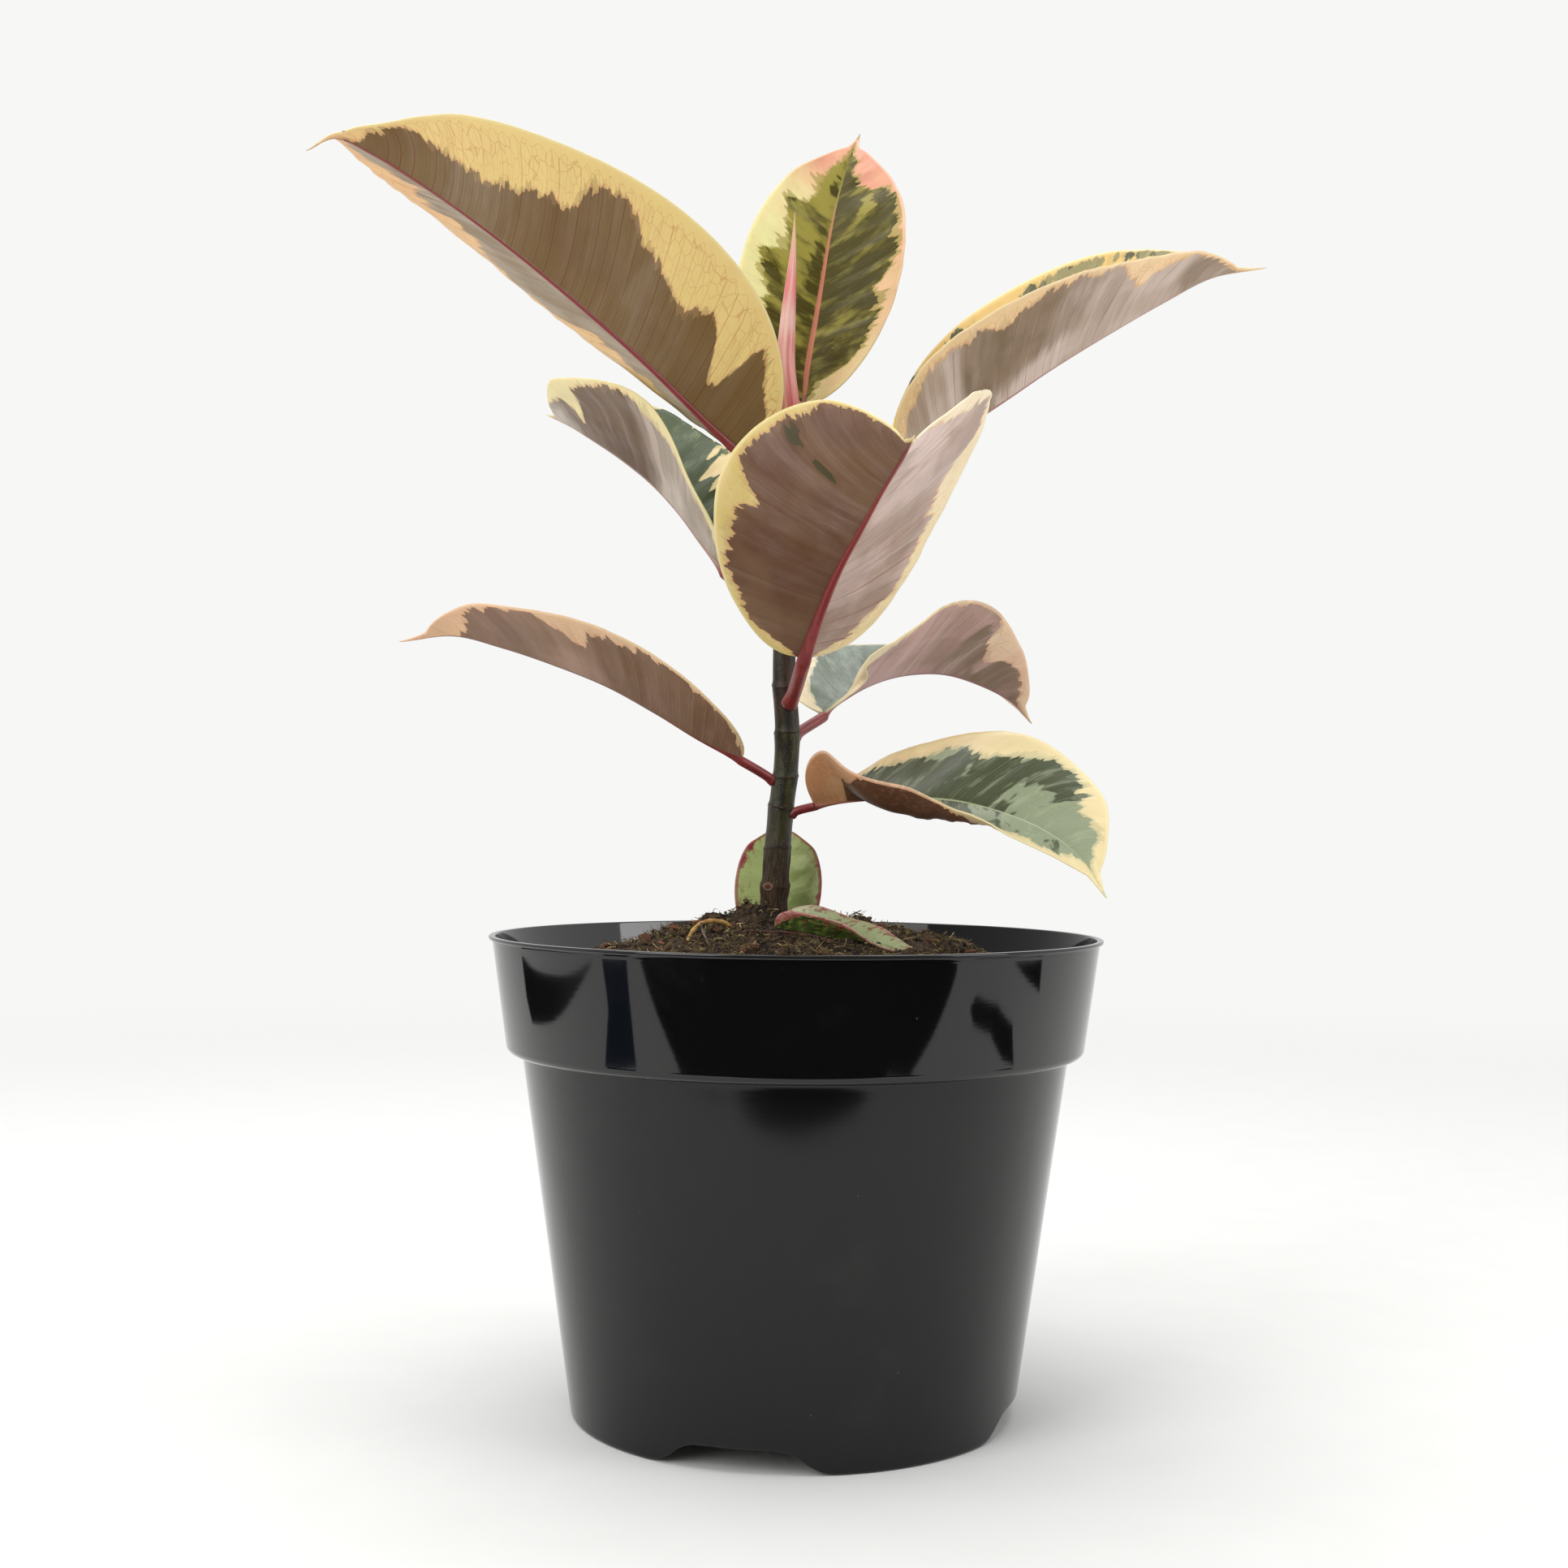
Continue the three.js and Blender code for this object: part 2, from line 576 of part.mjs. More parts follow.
// A point of the blade's middle surface. across runs from -1, the left margin, to 1, the right one.
function bladePoint(leaf, frame, u, across) {
  const half = across < 0 ? leaf.left : leaf.right;
  const out = Math.abs(across);
  const lift = along(half.lift, u) * DEG;
  const curl = (along(half.turn, u) * DEG * out) / 2;
  const chord = out * halfWidth(leaf, half, u) * (Math.abs(curl) < 1e-6 ? 1 : Math.sin(curl) / curl);
  const { size, count, phase } = leaf.wave;
  const turns = 2 * Math.PI * count * u + phase + across;
  const ripple = size * across ** 2 * Math.sin(turns) * Math.sin(Math.PI * u);
  return frame.middle
    .clone()
    .addScaledVector(frame.side, Math.sign(across) * chord * Math.cos(lift + curl))
    .addScaledVector(frame.up, chord * Math.sin(lift + curl) + ripple);
}

// The blade as a thin closed body; clearance makes it thicker and wider for its hole.
function bladeGeometry(leaf, clearance = 0) {
  const wide = 1 + clearance / leaf.left.width;
  const columns = BLADE_COLUMNS.map((across) => across * wide);
  const grid = Array.from({ length: BLADE_ROWS + 1 }, (_, row) => {
    const u = (1 - Math.cos((Math.PI * row) / BLADE_ROWS)) / 2;
    const frame = ribFrame(leaf, u);
    const beyond = row === 0 ? -clearance : clearance * (row === BLADE_ROWS);
    frame.middle.addScaledVector(frame.forward, beyond);
    return columns.map((across) => bladePoint(leaf, frame, u, across));
  });
  const last = columns.length - 1;
  const rings = grid.map((line, row) => {
    const normals = line.map((_, k) => {
      const sideways = new THREE.Vector3().subVectors(line[Math.min(k + 1, last)], line[Math.max(k - 1, 0)]);
      const ahead = grid[Math.min(row + 1, BLADE_ROWS)][k];
      const lengthways = new THREE.Vector3().subVectors(ahead, grid[Math.max(row - 1, 0)][k]);
      return sideways.cross(lengthways).normalize().multiplyScalar(BLADE_THICKNESS / 2 + clearance);
    });
    const upper = line.map((place, k) => place.clone().add(normals[k]));
    const lower = line.map((place, k) => place.clone().sub(normals[k]));
    return [...upper, ...lower.reverse()];
  });
  return loft(rings);
}

// The petiole, from the stem to the blade and on under it as the midrib's ridge.
function petioleGeometry(leaf) {
  const radius = leaf.petiole_radius;
  const stem = stemAt(leaf.height);
  const outward = new THREE.Vector3(Math.cos(leaf.azimuth * DEG), Math.sin(leaf.azimuth * DEG), 0);
  // how far the edge of its tilted end leans back to the stem
  const tilt = PETIOLE_SWELL * radius * Math.sin(Math.atan(PETIOLE_RISE));
  const root = stem.middle.clone().addScaledVector(outward, stem.radius + GAP + tilt);
  const ridge = Array.from({ length: RIB_ROWS + 1 }, (_, k) => {
    const u = (RIB_END * k) / RIB_ROWS;
    const thick = THREE.MathUtils.lerp(radius, RIB_END_RADIUS, Math.sqrt(u / RIB_END));
    const frame = ribFrame(leaf, u);
    const [left, right] = [leaf.left, leaf.right].map((half) => along(half.lift, u) * DEG);
    const up = frame.side
      .clone()
      .multiplyScalar(Math.sin(left) - Math.sin(right))
      .addScaledVector(frame.up, Math.cos(left) + Math.cos(right))
      .normalize();
    const droop = Math.max(0, -Math.min(left, right));
    const below = (BLADE_THICKNESS / 2 + GAP + thick) / Math.cos(droop);
    return { middle: frame.middle.addScaledVector(up, -below), thick };
  });
  const start = ridge[0].middle;
  const run = root.distanceTo(start) * PETIOLE_LEAD;
  const lead = root.clone().addScaledVector(outward, run);
  lead.z += run * PETIOLE_RISE;
  const reach = new THREE.CatmullRomCurve3([root, lead, start, ridge[1].middle]);
  const arrive = 1 - start.distanceTo(ridge[1].middle) / reach.getLength();
  const petiole = Array.from({ length: PETIOLE_ROWS }, (_, k) => {
    const share = k / PETIOLE_ROWS;
    const thick = radius * THREE.MathUtils.lerp(PETIOLE_SWELL, 1, share);
    return { middle: reach.getPointAt(arrive * share), thick };
  });
  const rings = [...petiole, ...ridge];
  return taperedTube(rings.map((ring) => ring.middle), rings.map((ring) => ring.thick), RIB_SIDES);
}

// What lies on the soil

function layTube(line, radius, clearance = 0) {
  const curve = curveThrough(line);
  const shares = Array.from({ length: LAID_ROWS + 1 }, (_, k) => k / LAID_ROWS);
  const middles = shares.map((share) => curve.getPointAt(share));
  const radii = shares.map((share) => clearance + radius * (1 - LAID_TAPER * share));
  return taperedTube(middles, radii, RIB_SIDES);
}

// The whole plant in its pot

const group = new THREE.Group();

function add(name, geometry, finish) {
  const mesh = new THREE.Mesh(geometry, new THREE.MeshStandardMaterial(FINISH[finish]));
  mesh.name = name;
  group.add(mesh);
}

const soilHoles = [
  stemGeometry(GAP),
  ...BASE_LEAVES.map((leaf) => bladeGeometry(leaf, GAP)),
  layTube(ROOT_LINE, ROOT_RADIUS, GAP),
  layTube(STRAND_LINE, STRAND_RADIUS, GAP),
];

add('pot', potGeometry(), 'pot');
add('soil', soilGeometry(soilHoles), 'soil');
add('stem', stemGeometry(), 'stem');
add('sheath', sheathGeometry(), 'sheath');
LEAVES.forEach((leaf) => {
  add(`${leaf.name}_blade`, bladeGeometry(leaf), 'blade');
  add(`${leaf.name}_petiole`, petioleGeometry(leaf), 'petiole');
});
BASE_LEAVES.forEach((leaf) => add(leaf.name, bladeGeometry(leaf), 'small_blade'));
add('surface_root', layTube(ROOT_LINE, ROOT_RADIUS), 'root');
add('strand', layTube(STRAND_LINE, STRAND_RADIUS), 'strand');

const box = new THREE.Box3().setFromObject(group);
const centre = box.getCenter(new THREE.Vector3());
group.children.forEach((mesh) => mesh.position.set(-centre.x, -centre.y, 0));

export default group;
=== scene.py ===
# %% [markdown]
# # A young variegated rubber plant in its nursery pot
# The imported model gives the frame: the pot's place, the boxes of all pieces and the outer size.
# Everything visible is then made finer than that model, piece by piece, in the same places: leaves
# with real veins, leaf stalks, a barked stem, crumbly potting mix and a moulded plastic pot. Places
# are in millimetres from the foot of the pot's axis, with y away from the viewer and z up.

# %% Load the frame
import math
import random

import bpy
import numpy as np
from mathutils import Matrix, Vector, noise


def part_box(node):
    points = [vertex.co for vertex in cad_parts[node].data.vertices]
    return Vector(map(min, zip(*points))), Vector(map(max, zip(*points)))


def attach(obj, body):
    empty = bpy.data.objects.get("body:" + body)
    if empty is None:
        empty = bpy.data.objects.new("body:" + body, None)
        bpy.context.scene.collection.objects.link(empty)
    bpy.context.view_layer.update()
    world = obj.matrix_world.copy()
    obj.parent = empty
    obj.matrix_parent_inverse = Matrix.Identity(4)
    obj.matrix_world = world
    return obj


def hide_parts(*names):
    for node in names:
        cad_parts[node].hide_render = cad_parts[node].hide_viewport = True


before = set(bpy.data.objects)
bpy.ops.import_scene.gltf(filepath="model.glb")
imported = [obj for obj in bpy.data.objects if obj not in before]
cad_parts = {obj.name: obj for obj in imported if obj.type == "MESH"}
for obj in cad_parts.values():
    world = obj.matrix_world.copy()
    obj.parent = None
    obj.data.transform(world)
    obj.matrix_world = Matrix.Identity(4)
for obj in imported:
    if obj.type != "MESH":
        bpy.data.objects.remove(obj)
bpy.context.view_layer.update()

MM = 0.001
scene = bpy.context.scene
pot_low, pot_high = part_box("pot")
POT_AXIS = np.array([(pot_low.x + pot_high.x) / 2, (pot_low.y + pot_high.y) / 2, 0.0])
print("pot", [round(size / MM, 1) for size in pot_high - pot_low], "mm, axis at", POT_AXIS.round(4))

# %% [markdown]
# ## Camera
# A photograph is easiest to compare with when the camera stands where the photographer stood. It could
# be turned by hand until the picture fits, but the ellipses of the pot's lip and foot give the place
# at once: half a metre in front, at the height of the lowest leaves, tilted up by one degree and
# turned by half a degree round its line of sight.

# %% Camera
CAMERA_PLACE = (-3.6, -540, 157)
CAMERA_TILT = 1.1  # degrees
CAMERA_ROLL = 0.5  # degrees
SENSOR = 36.0
FOCAL_SHARE = 2450 / 1932  # focal length over the picture's width


def in_frame(places):
    """Places in millimetres, counted from the foot of the pot's axis, as metres in the part's frame."""
    return POT_AXIS + np.asarray(places, float) * MM


def make_camera():
    data = bpy.data.cameras.new("camera")
    data.sensor_width = SENSOR
    data.lens = SENSOR * FOCAL_SHARE
    camera = bpy.data.objects.new("camera", data)
    scene.collection.objects.link(camera)
    tilt = Matrix.Rotation(math.radians(90 + CAMERA_TILT), 4, "X")
    roll = Matrix.Rotation(math.radians(CAMERA_ROLL), 4, "Z")
    camera.matrix_world = Matrix.Translation(Vector(in_frame(CAMERA_PLACE))) @ (tilt @ roll)
    scene.camera = camera
    print("camera lens", round(data.lens, 2), "mm at", [round(c, 3) for c in camera.location])


make_camera()

# %% [markdown]
# ## Wiring shaders
# A material here is made of many small nodes. Adding and linking each of them by hand hides what the
# material does. So a value on its way through a shader is a Wire, and plain signs between wires, as in
# a + b * 0.5, add the Math nodes that do the sum. A colour is written as a web code wherever a socket
# takes one.

# %% Wires


def colour(code):
    """A colour that is given as a web code, in the linear numbers that shaders use."""
    parts = [int(code[i:i + 2], 16) / 255 for i in (1, 3, 5)]
    return [p / 12.92 if p <= 0.04045 else ((p + 0.055) / 1.055) ** 2.4 for p in parts] + [1.0]


def add(tree, kind, **settings):
    node = tree.nodes.new(kind)
    for key, value in settings.items():
        setattr(node, key, value)
    return node


def feed(socket, value):
    """Give a socket a wire, a colour's web code or a plain number."""
    if isinstance(value, Wire):
        value.tree.links.new(value.socket, socket)
    else:
        socket.default_value = colour(value) if isinstance(value, str) else value


def placed(kind, inputs, **settings):
    """Add a node where the wires among its inputs run, and feed those inputs, by name or number."""
    tree = next(value.tree for value in inputs.values() if isinstance(value, Wire))
    node = add(tree, kind, **settings)
    for label, value in inputs.items():
        feed(node.inputs[label], value)
    return node


def wired(kind, inputs, output=0, **settings):
    return Wire(placed(kind, inputs, **settings).outputs[output])


def calc(operation, *values, clamp=False):
    return wired("ShaderNodeMath", dict(enumerate(values)), operation=operation, use_clamp=clamp)


def sign(operation, turned=False):
    """What a plain sign between a wire and another value does."""
    def apply(wire, other):
        return calc(operation, other, wire) if turned else calc(operation, wire, other)
    return apply


class Wire:
    """A value on its way through a shader, held by the socket that gives it."""

    __add__ = __radd__ = sign("ADD")
    __mul__ = __rmul__ = sign("MULTIPLY")
    __sub__ = sign("SUBTRACT")
    __rsub__ = sign("SUBTRACT", turned=True)
    __truediv__ = sign("DIVIDE")

    def __init__(self, socket):
        self.socket = socket
        self.tree = socket.id_data


# %% Steps, mixes and noises


def ramp(value, low, high, out_low=0.0, out_high=1.0):
    """A soft step: out_low below low, out_high above high. It steps the other way if low is the higher."""
    inputs = dict(enumerate((value, low, high, out_low, out_high)))
    return wired("ShaderNodeMapRange", inputs, "Result", interpolation_type="SMOOTHSTEP")


def mix(share, first, second):
    inputs = {"Factor": share, "A": first, "B": second}
    return wired("ShaderNodeMix", inputs, "Result", data_type="RGBA")


def stained(skin, stain, where, amount):
    """A skin with a stain over it, of this amount where the mask is full."""
    return mix(where * amount, skin, stain)


def vector(x=0.0, y=0.0, z=0.0):
    return wired("ShaderNodeCombineXYZ", dict(enumerate((x, y, z))))


def split(value):
    return [Wire(socket) for socket in placed("ShaderNodeSeparateXYZ", {0: value}).outputs]


def clouds(place, scale=1.0, detail=2.0, roughness=0.5):
    inputs = {"Vector": place, "Scale": scale, "Detail": detail, "Roughness": roughness}
    return wired("ShaderNodeTexNoise", inputs, "Fac")


def chance_of(x, y, z):
    """A random number from 0 to 1 that is the same all over each whole step of these values."""
    return wired("ShaderNodeTexWhiteNoise", {"Vector": vector(x, y, z)}, "Value", noise_dimensions="3D")


def bump(height, distance):
    return wired("ShaderNodeBump", {"Height": height, "Distance": distance}, "Normal")


def carried(tree, name, output="Vector"):
    """A value that the mesh carries at its points."""
    return Wire(add(tree, "ShaderNodeAttribute", attribute_name=name).outputs[output])


def surface(tree, output="Position"):
    """Where the surface lies, or the way that it faces, in metres in the part's frame."""
    return Wire(add(tree, "ShaderNodeNewGeometry").outputs[output])


# %% Effects and materials


def make_effect(name, inputs, outputs):
    """A node group with float inputs, or vector ones where the start value is None, and its two ends."""
    group = bpy.data.node_groups.new(name, "ShaderNodeTree")
    for label, value in inputs.items():
        kind = "NodeSocketVector" if value is None else "NodeSocketFloat"
        socket = group.interface.new_socket(name=label, in_out="INPUT", socket_type=kind)
        if value is not None:
            socket.default_value = value
    for label in outputs:
        group.interface.new_socket(name=label, in_out="OUTPUT", socket_type="NodeSocketFloat")
    given = {socket.name: Wire(socket) for socket in add(group, "NodeGroupInput").outputs}
    return group, given, add(group, "NodeGroupOutput").inputs


def use_effect(group, **values):
    """Place an effect in a material, and give its outputs by name."""
    outputs = placed("ShaderNodeGroup", values, node_tree=group).outputs
    return {socket.name: Wire(socket) for socket in outputs}


def make_material(name):
    """A new material, its node tree and its Principled shader."""
    material = bpy.data.materials.new(name)
    material.use_nodes = True
    return material, material.node_tree, material.node_tree.nodes["Principled BSDF"]


def dress(shader, **values):
    """Feed a shader's sockets, whose names are written with _ for a space."""
    for label, value in values.items():
        feed(shader.inputs[label.replace("_", " ")], value)


print("a mid grey is", round(colour("#808080")[0], 3), "in a shader")

# %% [markdown]
# ## Stage and light
# The plant stands on a plain white table in an even, bright room, as for a catalogue. The black pot
# shows what is round it: white table at its sides and feet, and darkness beyond the table's front
# edge, which makes the dark shape in the middle of the collar. A whole room could be built for that.
# Black sheets on the floor, which only reflections see, do the same here, so the floor can stay pale
# from every side. Big soft lights above, at the front left and at the right give the leaves their form.

# %% Floor, sheets and lights
FLOOR_SIZE = 8.0  # m
FLOOR_LEVEL = -0.0002  # m: just under the pot's feet
SHEET_LEVEL = 0.0005  # m
FADE_START = 0.3  # m from the pot: from here on the floor fades into the white of the room
FADE_END = 1.3
TABLE_EDGE = [  # the dark beyond the white table's front edge, which comes nearer in the middle
    (-1500, -290), (-378, -290), (-375, -267), (-294, -256), (-194, -240), (-150, -250), (-118, -266),
    (-86, -258), (-49, -252), (60, -249), (102, -251), (131, -257), (160, -264), (194, -242), (262, -242),
    (329, -246), (374, -252), (384, -267), (386, -290), (1500, -290), (1500, -2200), (-1500, -2200),
]
MIRRORED = {  # dark shapes that only the pot's gloss shows: corners, colours at their back and front
    "front sheet": (TABLE_EDGE, "#050505", "#050505"),
    "left sheet": (
        [(-613, 330), (-474, -134), (-468, -85), (-457, -2), (-453, 71), (-462, 212), (-515, 267)],
        "#0b0b0c", "#55585c",
    ),
    "blue sheet": (
        [(-461, -164), (-404, -236), (-275, -179), (-323, -112), (-383, -150)],
        "#152d45", "#152d45",
    ),
    "right sheet": ([(510, -78), (580, 69), (505, 64), (506, -4)], "#0b0b0c", "#0b0b0c"),
    "brown sheet": (
        [(384, -182), (358, -190), (347, -170), (370, -121), (362, -72), (370, -30), (420, -52), (415, -116)],
        "#24221a", "#0f0f0c",
    ),
}
SHEET_BACK = 0.1  # m: from here forward a sheet's colour turns
SHEET_FRONT = -0.12
SKY_SEEN = "#f7f7f6"
SKY_LIGHT = 0.92
SKY_FRONT = 0.42  # the room is darker behind the photographer
LIGHTS = {  # place, width and height in m, power in W
    "top light": ((-150, 100, 1500), (1.5, 1.5), 15),
    "front light": ((-950, -1000, 800), (0.8, 1.0), 11),
    "right light": ((1200, -500, 600), (0.6, 1.0), 5),
}
LIGHTS_AIM = (0, 0, 190)


def flat_sheet(name, corners, height, material):
    """A flat sheet with these corners, in metres in the part's frame."""
    mesh = bpy.data.meshes.new(name)
    mesh.from_pydata([(x, y, height) for x, y in corners], [], [tuple(range(len(corners)))])
    mesh.materials.append(material)
    sheet = bpy.data.objects.new(name, mesh)
    scene.collection.objects.link(sheet)
    return sheet


def make_floor():
    """A pale floor that glows as bright as the room where it is far away, so no edge of it shows."""
    material, tree, shader = make_material("white table")
    place = surface(tree)
    x, y, _ = split(place)
    fade = ramp(calc("SQRT", x * x + y * y), FADE_START, FADE_END)
    near = mix(clouds(place, 40.0, 3.0), "#e3e3e1", "#e8e8e6")
    dress(
        shader, Base_Color=mix(fade, near, "#000000"), Emission_Color=SKY_SEEN, Emission_Strength=fade,
        Roughness=1.0, Specular_IOR_Level=0.0,
    )
    half = FLOOR_SIZE / 2
    flat_sheet("floor", [(-half, -half), (half, -half), (half, half), (-half, half)], FLOOR_LEVEL, material)


def make_sheets():
    for name, (corners, back, front) in MIRRORED.items():
        material, tree, shader = make_material(name)
        _, y, _ = split(surface(tree))
        skin = mix(ramp(y, SHEET_BACK, SHEET_FRONT), back, front)
        dress(shader, Base_Color=skin, Roughness=1.0, Specular_IOR_Level=0.0)
        places = in_frame([(x, y, 0) for x, y in corners])
        sheet = flat_sheet(name, places[:, :2], SHEET_LEVEL, material)
        sheet.visible_camera = False
        sheet.visible_diffuse = False
        sheet.visible_shadow = False


def make_sky():
    """A room that lights the plant evenly and is plain white behind it."""
    world = bpy.data.worlds.new("room")
    scene.world = world
    world.use_nodes = True
    tree = world.node_tree
    tree.nodes.clear()
    _, y, _ = split(Wire(add(tree, "ShaderNodeTexCoord").outputs["Generated"]))
    lit = wired("ShaderNodeBackground", {"Strength": ramp(y, -0.9, -0.1, SKY_FRONT, SKY_LIGHT)})
    seen = add(tree, "ShaderNodeBackground")
    feed(seen.inputs["Color"], SKY_SEEN)
    from_camera = Wire(add(tree, "ShaderNodeLightPath").outputs["Is Camera Ray"])
    room = wired("ShaderNodeMixShader", {0: from_camera, 1: lit, 2: Wire(seen.outputs[0])})
    feed(add(tree, "ShaderNodeOutputWorld").inputs["Surface"], room)


def make_lights():
    target = Vector(in_frame(LIGHTS_AIM))
    for name, (place, (width, height), power) in LIGHTS.items():
        data = bpy.data.lights.new(name, "AREA")
        data.shape = "RECTANGLE"
        data.size, data.size_y, data.energy = width, height, power
        light = bpy.data.objects.new(name, data)
        light.location = Vector(in_frame(place))
        light.rotation_euler = (target - light.location).to_track_quat("-Z", "Y").to_euler()
        scene.collection.objects.link(light)


make_floor()
make_sheets()
make_sky()
make_lights()
scene.view_settings.view_transform = "Standard"
print("floor,", len(MIRRORED), "sheets and", len(LIGHTS), "lights made")

# %% [markdown]
# ## Curves and skins
# A leaf's midrib, a stalk or a root is a smooth line through a few places. Blender's own curves could
# be bevelled into tubes, but a skin that is made point by point can swell, crack and carry values for
# its material. The line used here runs evenly by length, so a share of 0.5 is its middle. Skins are
# made from rings of equally many points.

# %% Smooth lines
SLOPE_STEP = 0.006  # share of a line over which its direction is read


def unit(vectors):
    return vectors / np.maximum(np.linalg.norm(vectors, axis=-1, keepdims=True), 1e-12)


def soft_step(value, low, high):
    t = np.clip((value - low) / (high - low), 0, 1)
    return t * t * (3 - 2 * t)


def along(values, share):
    """Numbers or places read off a smooth line through values that stand at even steps."""
    values = np.asarray(values, float)
    share = np.clip(np.asarray(share, float), 0, 1)
    last = len(values) - 1
    if last == 0:
        return np.zeros(share.shape + values.shape[1:]) + values[0]
    place = share * last
    i = np.minimum(place.astype(int), last - 1)
    t = (place - i)[..., None] if values.ndim > 1 else place - i
    a, b, c, d = (values[np.clip(i + k, 0, last)] for k in (-1, 0, 1, 2))
    return b + ((c - a) * t + (2 * a - 5 * b + 4 * c - d) * t**2 + (3 * b - a - 3 * c + d) * t**3) / 2


class Line:
    """A smooth line through places, which can be read off at shares of its length."""

    def __init__(self, places, steps=60):
        p = np.asarray(places, float)
        p = np.vstack([2 * p[0] - p[1], p, 2 * p[-1] - p[-2]])
        dense = []
        for a, b, c, d in zip(p, p[1:], p[2:], p[3:]):
            gaps = [max(np.linalg.norm(y - x) ** 0.5, 1e-4) for x, y in ((a, b), (b, c), (c, d))]
            leave = ((b - a) / gaps[0] - (c - a) / (gaps[0] + gaps[1]) + (c - b) / gaps[1]) * gaps[1]
            reach = ((c - b) / gaps[1] - (d - b) / (gaps[1] + gaps[2]) + (d - c) / gaps[2]) * gaps[1]
            square = 3 * (c - b) - 2 * leave - reach
            cube = 2 * (b - c) + leave + reach
            t = np.linspace(0, 1, steps, endpoint=False)[:, None]
            dense.append(b + leave * t + square * t**2 + cube * t**3)
        self.dense = np.vstack(dense + [p[-2:-1]])
        self.runs = run_along(self.dense)
        self.length = self.runs[-1]

    def at(self, share):
        run = np.asarray(share, float) * self.length
        return np.stack([np.interp(run, self.runs, self.dense[:, k]) for k in range(3)], -1)

    def forward(self, share):
        return unit(self.at(np.minimum(share + SLOPE_STEP, 1)) - self.at(np.maximum(share - SLOPE_STEP, 0)))


def run_along(places):
    """How far each of these places lies from the first, measured along them."""
    return np.concatenate([[0], np.cumsum(np.linalg.norm(np.diff(places, axis=0), axis=1))])


# %% Skins of rings


def ring_faces(rows, count):
    """Quads between rows of rings that each have count points."""
    row, k = np.meshgrid(np.arange(rows - 1), np.arange(count), indexing="ij")
    a = row * count + k
    b = row * count + (k + 1) % count
    return np.stack([a, b, b + count, a + count], -1).reshape(-1, 4).tolist()


def round_angles(count):
    return np.arange(count) * 2 * np.pi / count


def tube_rings(middles, radii, sides):
    """Rings round a line of middles. radii has a number for each row, or one for each point of each ring."""
    forward = unit(np.gradient(middles, axis=0))
    across = np.array([0.0, 1.0, 0.0]) if abs(forward[0][0]) > 0.9 else np.array([1.0, 0.0, 0.0])
    angles = round_angles(sides)
    radii = np.broadcast_to(np.asarray(radii, float).reshape(len(middles), -1), (len(middles), sides))
    rings = []
    for middle, ahead, size in zip(middles, forward, radii):
        across = unit(across - across.dot(ahead) * ahead)
        over = np.cross(ahead, across)
        spokes = np.cos(angles)[:, None] * across + np.sin(angles)[:, None] * over
        rings.append(middle + size[:, None] * spokes)
    return np.array(rings)


def capped_tube(rings):
    """Places and faces of a tube through rings, closed with a fan at both ends."""
    rows, sides = rings.shape[:2]
    places = np.vstack([rings.reshape(-1, 3), rings[0].mean(0), rings[-1].mean(0)])
    faces = ring_faces(rows, sides)
    first, last, top = rows * sides, rows * sides + 1, (rows - 1) * sides
    for k in range(sides):
        after = (k + 1) % sides
        faces.append((first, after, k))
        faces.append((last, top + k, top + after))
    return places, faces


def capped_values(*grids):
    """What a capped tube carries at its points, from three numbers for each point of its rings."""
    flat = np.stack(grids, -1).reshape(-1, 3)
    return np.vstack([flat, flat[:1], flat[-1:]])


# %% A piece of the model


def make_piece(name, places, faces, materials, node, carries=None, face_materials=None, smooth=True):
    """An object from places in millimetres, which rides on the model and takes the place of its node."""
    mesh = bpy.data.meshes.new(name)
    mesh.from_pydata(in_frame(places).tolist(), [], faces)
    for material in materials:
        mesh.materials.append(material)
    for label, values in (carries or {}).items():
        values = np.asarray(values, np.float32)
        kind, field = ("FLOAT_VECTOR", "vector") if values.ndim > 1 else ("FLOAT", "value")
        mesh.attributes.new(label, kind, "POINT").data.foreach_set(field, values.ravel())
    if face_materials is not None:
        mesh.polygons.foreach_set("material_index", np.asarray(face_materials, np.int32))
    mesh.polygons.foreach_set("use_smooth", np.full(len(mesh.polygons), smooth))
    mesh.validate()
    made = bpy.data.objects.new(name, mesh)
    scene.collection.objects.link(made)
    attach(made, "root")
    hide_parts(node)
    print(name, len(mesh.vertices), "points,", len(mesh.polygons), "faces")
    return made
